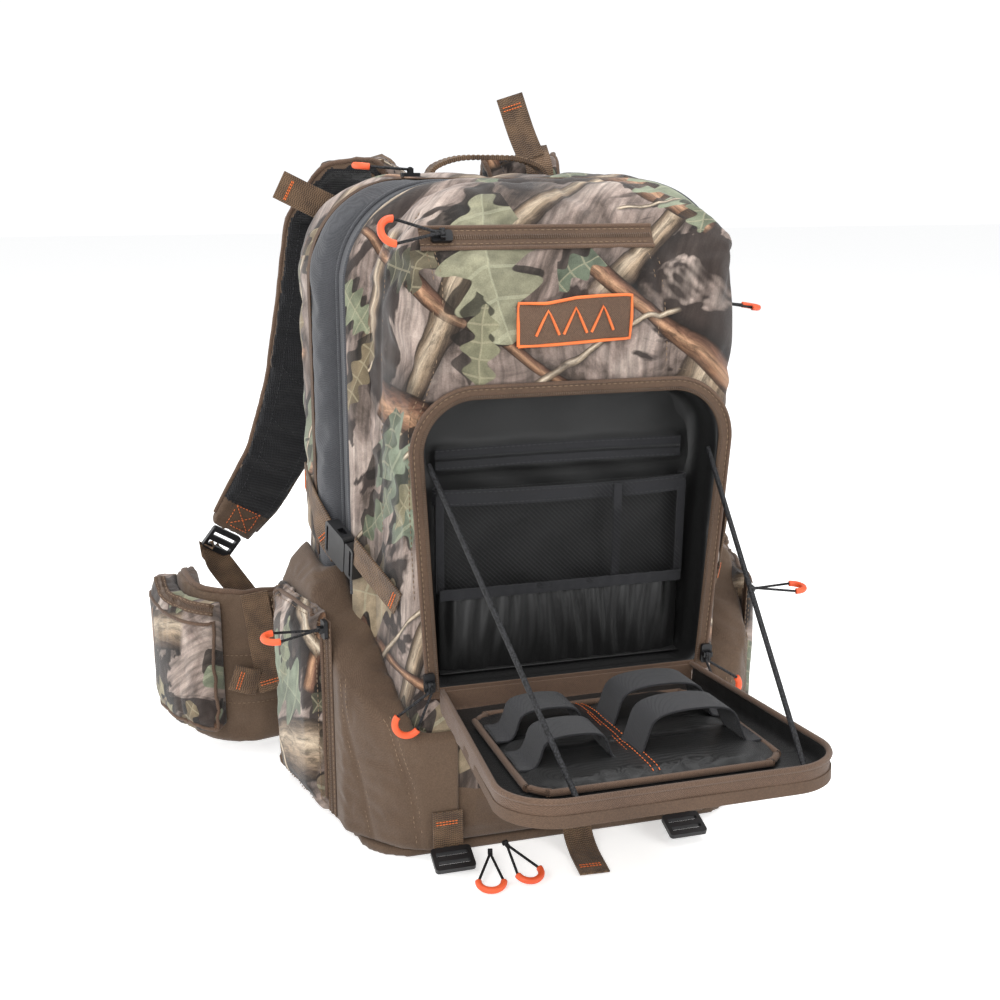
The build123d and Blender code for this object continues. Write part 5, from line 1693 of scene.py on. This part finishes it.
def makeCompression():
    for side in (-1, 1):
        name = "Left" if side < 0 else "Right"
        socket = places(frame["nodes"]["pack_buckles"])
        socket = socket[(socket[:, 0] * side > 0.12) & (socket[:, 2] > 0.1)]
        plug = frame["nodes"]["buckle_plug_" + name.lower()]
        back = socket[socket[:, 1] > socket[:, 1].max() - 6 * mm].mean(0)
        front = places(plug)[places(plug)[:, 1] < places(plug)[:, 1].min() + 6 * mm].mean(0)
        x = mainHigh.x + 2.9 * mm
        rear = [(side * x, backY - 18 * mm, 272 * mm), (side * (x + 0.5 * mm), splitY + 26 * mm, 261 * mm),
                tuple(back + np.array((0, 7, 3)) * mm), tuple(back + np.array((0, -1, 0)) * mm)]
        across = (0, 0.27, 0.95)
        made, run = webbing(rear, across)
        settle(made, "compressionRear" + name, "pack",
               ["body_webbing"] if side < 0 else ())
        for at in (6 * mm, run["length"] - 20 * mm):
            bartack(run, at, "pack")
        tip = np.array((side * 136.5 * mm, frontY + 22 * mm, 214 * mm))
        fore = [tuple(front + np.array((0, 2, 1)) * mm), tuple(front + np.array((0, -6, -2)) * mm),
                tuple(tip)]
        made, run = webbing(fore, (0, -0.27, 0.95))
        settle(made, "compressionFront" + name, "pack", ["buckle_webbing_" + name.lower()])
        axis = tip - front
        axis /= np.linalg.norm(axis)
        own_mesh(made)
        bartack(run, run["length"] - 8 * mm, "pack")


def makeBaseWebbing():
    for x in (-104, 96):
        tab = tied([(x, -127.4, 44), (x, -127.6, 26), (x, -129, 15), (x, -134, 11)])
        made, run = webbing(tab, (1, 0, 0))
        settle(made, "baseTab." + str(x + 200), "pack")
        bartack(run, 8 * mm, "pack")
    tail = tied([(6, -121.4, 96), (6, -123, 40), (6, -129, 14), (6, -146, 2.4), (4, -180, 1.6)])
    made, run = webbing(tail, (1, 0, 0))
    settle(made, "baseTail", "pack")
    bartack(run, 10 * mm, "pack")
    bartack(run, run["length"] - 12 * mm, "pack")


def makeLifters():
    routes = {
        "LeftFront": ([(-104, 116.9, 499), (-101, 117.2, 511), (-98, 121, 526), (-98, 133, 541),
                       (-106, 146, 548)],
                      (1, 0.2, 0.1)),
        "LeftTail": ([(-128, 122, 497), (-142, 118.4, 502), (-164, 119, 512), (-192, 121, 526)],
                     (-0.45, 0, 0.9)),
        "RightFront": ([(46, 118, 520), (44, 121, 540), (42, 133, 558)], (1, 0, 0.2)),
        "RightTail": ([(38, 125, 548), (30, 132, 570), (20, 138, 602)], (1, 0, 0.35)),
    }
    for name, (points, across) in routes.items():
        made, run = webbing(tied(points), across)
        settle(made, "lifter" + name, "pack",
               ["lifter_webbing"] if name == "LeftFront" else ())
        if "Tail" in name:
            bartack(run, run["length"] - 12 * mm, "pack")
        else:
            bartack(run, 5 * mm, "pack")


def makeStrapWebbing():
    for side in (-1, 1):
        name = "left" if side < 0 else "right"
        path = [np.array(p, float) for p in strapPaths[side][-2:]]
        along = (path[1] - path[0]) / np.linalg.norm(path[1] - path[0])
        start = path[1] + along * 22
        anchor = np.array((side * 132, 149, 40.0))
        middle = start * 0.5 + anchor * 0.5 + np.array((side * 6, 12, -22))
        w = np.array(strapAcross[side][-1], float)
        w -= along * (w @ along)
        run = [tuple(p) for p in (start, start + along * 6, middle, anchor)]
        made, laid = webbing(tied(run), [tuple(w), tuple(w), (0.9, 0.3 * side, 0.3), (0.9, 0.2, 0.2)])
        settle(made, "strapWebbing" + name.capitalize(), None, ["strap_webbing_" + name])
        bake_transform(made)
        bartack(laid, laid["length"] - 10 * mm, "pack")


def makeHipWebbing():
    for side in (-1, 1):
        name = "left" if side < 0 else "right"
        body = "hip_belt_" + name
        pieces = []
        tip = [(-279, 240, 87), (-270, 259, 83), (-250, 279, 75), (-226, 289, 67)]
        upright = [(-232, 97, 163), (-229, 96.4, 140), (-226, 96, 112), (-222, 94.5, 84), (-219, 90, 68)]
        tail = [(-232, 93, 76), (-242, 91, 79), (-256, 93, 84)]
        for points, across, wide in ((tip, (0, 0, 1), 28 * mm), (upright, (1, 0, 0.15), 25 * mm),
                                     (tail, (0.2, 0, 1), 25 * mm)):
            line = [hipPlace(side, *p) for p in points]
            side3 = np.array(hipPlace(side, *across)) - np.array(hipPlace(side, 0, 0, 0))
            made, run = webbing(line, tuple(side3), width=wide)
            bartack(run, run["length"] - 10 * mm, body)
            pieces.append(made)
        made = join("hipWebbing" + name.capitalize(), pieces)
        settle(made, "hipWebbing" + name.capitalize(), body, ["hip_webbing_" + name])


def makeHandle():
    # two layers of webbing over the top, sewn through
    low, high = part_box("haul_handle")
    y, middle = (low.y + high.y) / 2, (low.x + high.x) / 2
    half, foot, rise = (high.x - low.x) / 2, low.z + 2 * mm, high.z - low.z - 4 * mm
    points = [(middle + half * c, y, foot + rise * h) for c, h in
              ((-1, -0.24), (-0.88, 0.42), (-0.5, 0.93), (0, 1), (0.5, 0.93), (0.88, 0.42), (1, -0.24))]
    made, run = webbing(points, (0, 1, 0), width=22 * mm, thickness=3.6 * mm)
    settle(made, "haulHandle", "handle", ["haul_handle"])
    for side in (-8 * mm, 8 * mm):
        keepSewing("handle", "brownThread", thread(run, 0, run["length"], side=side, height=-2.0 * mm))
        keepSewing("handle", "brownThread", thread(run, 0, run["length"], side=side, height=2.0 * mm))


def makeFlapCords():
    # limp braided cords, held taut between the opening and the open flap's free end
    plan = {"radius": 2 * mm, "topRise": 182 * mm, "left": -68 * mm, "right": 92 * mm,
            "trayLength": 231 * mm,
            "footShare": 0.93}
    reach = plan["footShare"] * plan["trayLength"]
    lift = plan["radius"] + flap["wall"] - flap["depth"]
    floor = flapPlace(0, reach, lift)
    closedFloor = (0, flap["hingeY"] + lift, opening["low"] + reach)
    for side, endX in ((-1, plan["left"]), (1, plan["right"])):
        name = "flapCord" + ("Left" if side < 0 else "Right")
        top = np.array((side * (opening["halfHigh"] - 5 * mm), frontY + 6 * mm,
                        opening["low"] + plan["topRise"]))
        end = np.array((endX, floor[1], floor[2] + 2.5 * mm))
        closed = np.array((endX, closedFloor[1], closedFloor[2]))
        bpy.ops.curve.primitive_nurbs_path_add()
        cord = bpy.context.view_layer.objects.active
        cord.name = name
        curve = cord.data
        curve.splines.clear()
        spline = curve.splines.new("NURBS")
        spline.points.add(4)
        for index in range(5):
            share = index / 4
            spline.points[index].co = (*(top + (end - top) * share), 1)
        spline.order_u = 3
        spline.use_endpoint_u = True
        curve.dimensions = "3D"
        curve.bevel_depth = plan["radius"]
        curve.bevel_resolution = 3
        curve.resolution_u = 12
        curve.use_fill_caps = True
        curve.materials.append(finish["braid"])
        only(cord)
        bpy.ops.object.convert(target="MESH")
        settle(cord, name, "pack", ["flap_cord_left" if side < 0 else "flap_cord_right"])
        openRun, closedRun = end - top, closed - top
        d = openRun - closedRun
        d /= np.linalg.norm(d)
        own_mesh(cord)


def makePatch():
    # a plain woven badge: orange border, brown ground, three chevrons
    plan = {"x": (-50 * mm, 40 * mm), "z": (417 * mm, 452 * mm), "lean": 3 * mm}
    x0, x1 = plan["x"]
    z0, z1 = plan["z"]
    bpy.ops.mesh.primitive_grid_add(x_subdivisions=26, y_subdivisions=11, size=1)
    badge = bpy.context.view_layer.objects.active
    co = places(badge)
    u, v = co[:, 0] + 0.5, co[:, 1] + 0.5
    x, z = x0 + u * (x1 - x0), z0 + v * (z1 - z0) + u * plan["lean"]
    made = []
    for a, b in zip(x, z):
        hit, normal, _, _ = frontTree.find_nearest(Vector((a, frontY - 8 * mm, b)))
        made.append(np.array(hit) + np.array(normal) * 0.6 * mm)
    setPlaces(badge, np.array(made))
    modify(badge, "SMOOTH", factor=0.5, iterations=3)
    modify(badge, "SOLIDIFY", thickness=1.2 * mm, offset=0)
    paint(badge, [finish["brownBinding"]])
    soften(badge)
    settle(badge, "badge", "pack")
    tree = skinTree(badge)

    def onBadge(points):
        line = [(x0 + p * (x1 - x0), frontY - 12 * mm, z0 + q * (z1 - z0) + p * plan["lean"]) for p,
                q in points]
        return onSkin(tree, line, lift=0.3 * mm, smooth=False)

    border = [(0, 0), (0.25, 0), (0.5, 0), (0.75, 0), (1, 0), (1, 0.5), (1, 1), (0.75, 1), (0.5, 1),
              (0.25, 1), (0, 1),
              (0, 0.5), (0, 0)]
    keepSewing("pack", "orangeThread", piping(onBadge(border), 1.3 * mm))
    for shift in (0.16, 0.40, 0.64):
        peak = [(shift, 0.22), (shift + 0.05, 0.5), (shift + 0.1, 0.78), (shift + 0.15, 0.5),
                (shift + 0.2, 0.22)]
        keepSewing("pack", "orangeThread", piping(onBadge(peak), 1.1 * mm))


makeCompression()
makeBaseWebbing()
makeLifters()
makeStrapWebbing()
makeHipWebbing()
makeHandle()
makeFlapCords()
makePatch()
print("webbing, handle, cords and badge ready")


# sewing collected on the way, joined by body and look

for (body, look), pieces in sewing.items():
    made = join("sewing-" + body + "-" + look, pieces)
    paint(made, [finish[look]])
    soften(made, 60)
    settle(made, "sewing-" + body + "-" + look, body)
print("sewing joined")


# camera, light and floor

def makeCamera():
    view = {"azimuth": -16, "elevation": 16, "roll": 0.4, "distance": 1.102, "lens": 45.18,
            "target": (-0.022, 0.0125, 0.26)}
    bpy.ops.object.camera_add()
    camera = bpy.context.view_layer.objects.active
    a, e = math.radians(view["azimuth"]), math.radians(view["elevation"])
    back = Vector((math.sin(a) * math.cos(e), -math.cos(a) * math.cos(e), math.sin(e)))
    camera.location = Vector(view["target"]) + back * view["distance"]
    turn = (-back).to_track_quat("-Z", "Y").to_matrix() @ Matrix.Rotation(math.radians(view["roll"]), 3,
                                                                          "Z")
    camera.rotation_euler = turn.to_euler()
    camera.data.lens = view["lens"]
    camera.data.sensor_width = 36
    camera.data.clip_start = 0.05
    scene.camera = camera


def makeLights():
    # two broad soft boxes in front, one above and a fill behind the left shoulder
    boxes = [((-1.3, -1.9, 1.6), 1.6, 46), ((1.6, -1.5, 1.1), 1.5, 26), ((0.1, 0.1, 2.2), 1.6, 34),
             ((-1.7, 0.9, 0.9), 1.3, 16)]
    for place, size, power in boxes:
        bpy.ops.object.light_add(type="AREA", location=place)
        lamp = bpy.context.view_layer.objects.active
        lamp.data.size = size
        lamp.data.energy = power
        lamp.rotation_euler = (Vector((0, 0, 0.25)) - Vector(place)).to_track_quat("-Z", "Y").to_euler()
    world = bpy.data.worlds.new("Studio")
    world.use_nodes = True
    # the paper sweep behind is white to the eye and gives a softer light to the cloth
    tree = world.node_tree
    seen = addNode(tree, "LightPath", output="Is Camera Ray")
    strength = addNode(tree, "MapRange", seen, inputs={3: 0.62, 4: 1.1})
    sky = tree.nodes["Background"]
    sky.inputs[0].default_value = toLinear("#fafbfd")
    tree.links.new(strength, sky.inputs[1])
    scene.world = world
    scene.view_settings.view_transform = "Standard"


def makeFloor():
    bpy.ops.object.select_all(action="DESELECT")
    bpy.ops.mesh.primitive_plane_add(size=14, location=(0, 0, -0.2 * mm))
    floor = bpy.context.view_layer.objects.active
    floor.name = "studioFloor"
    floor.data.materials.append(finish["floorPaper"])
    paper = finish["floorPaper"].node_tree.nodes["Principled BSDF"]
    paper.inputs["Emission Color"].default_value = (1, 1, 1, 1)
    paper.inputs["Emission Strength"].default_value = 0.45


makeCamera()
makeLights()
makeFloor()
print("camera, light and floor ready")
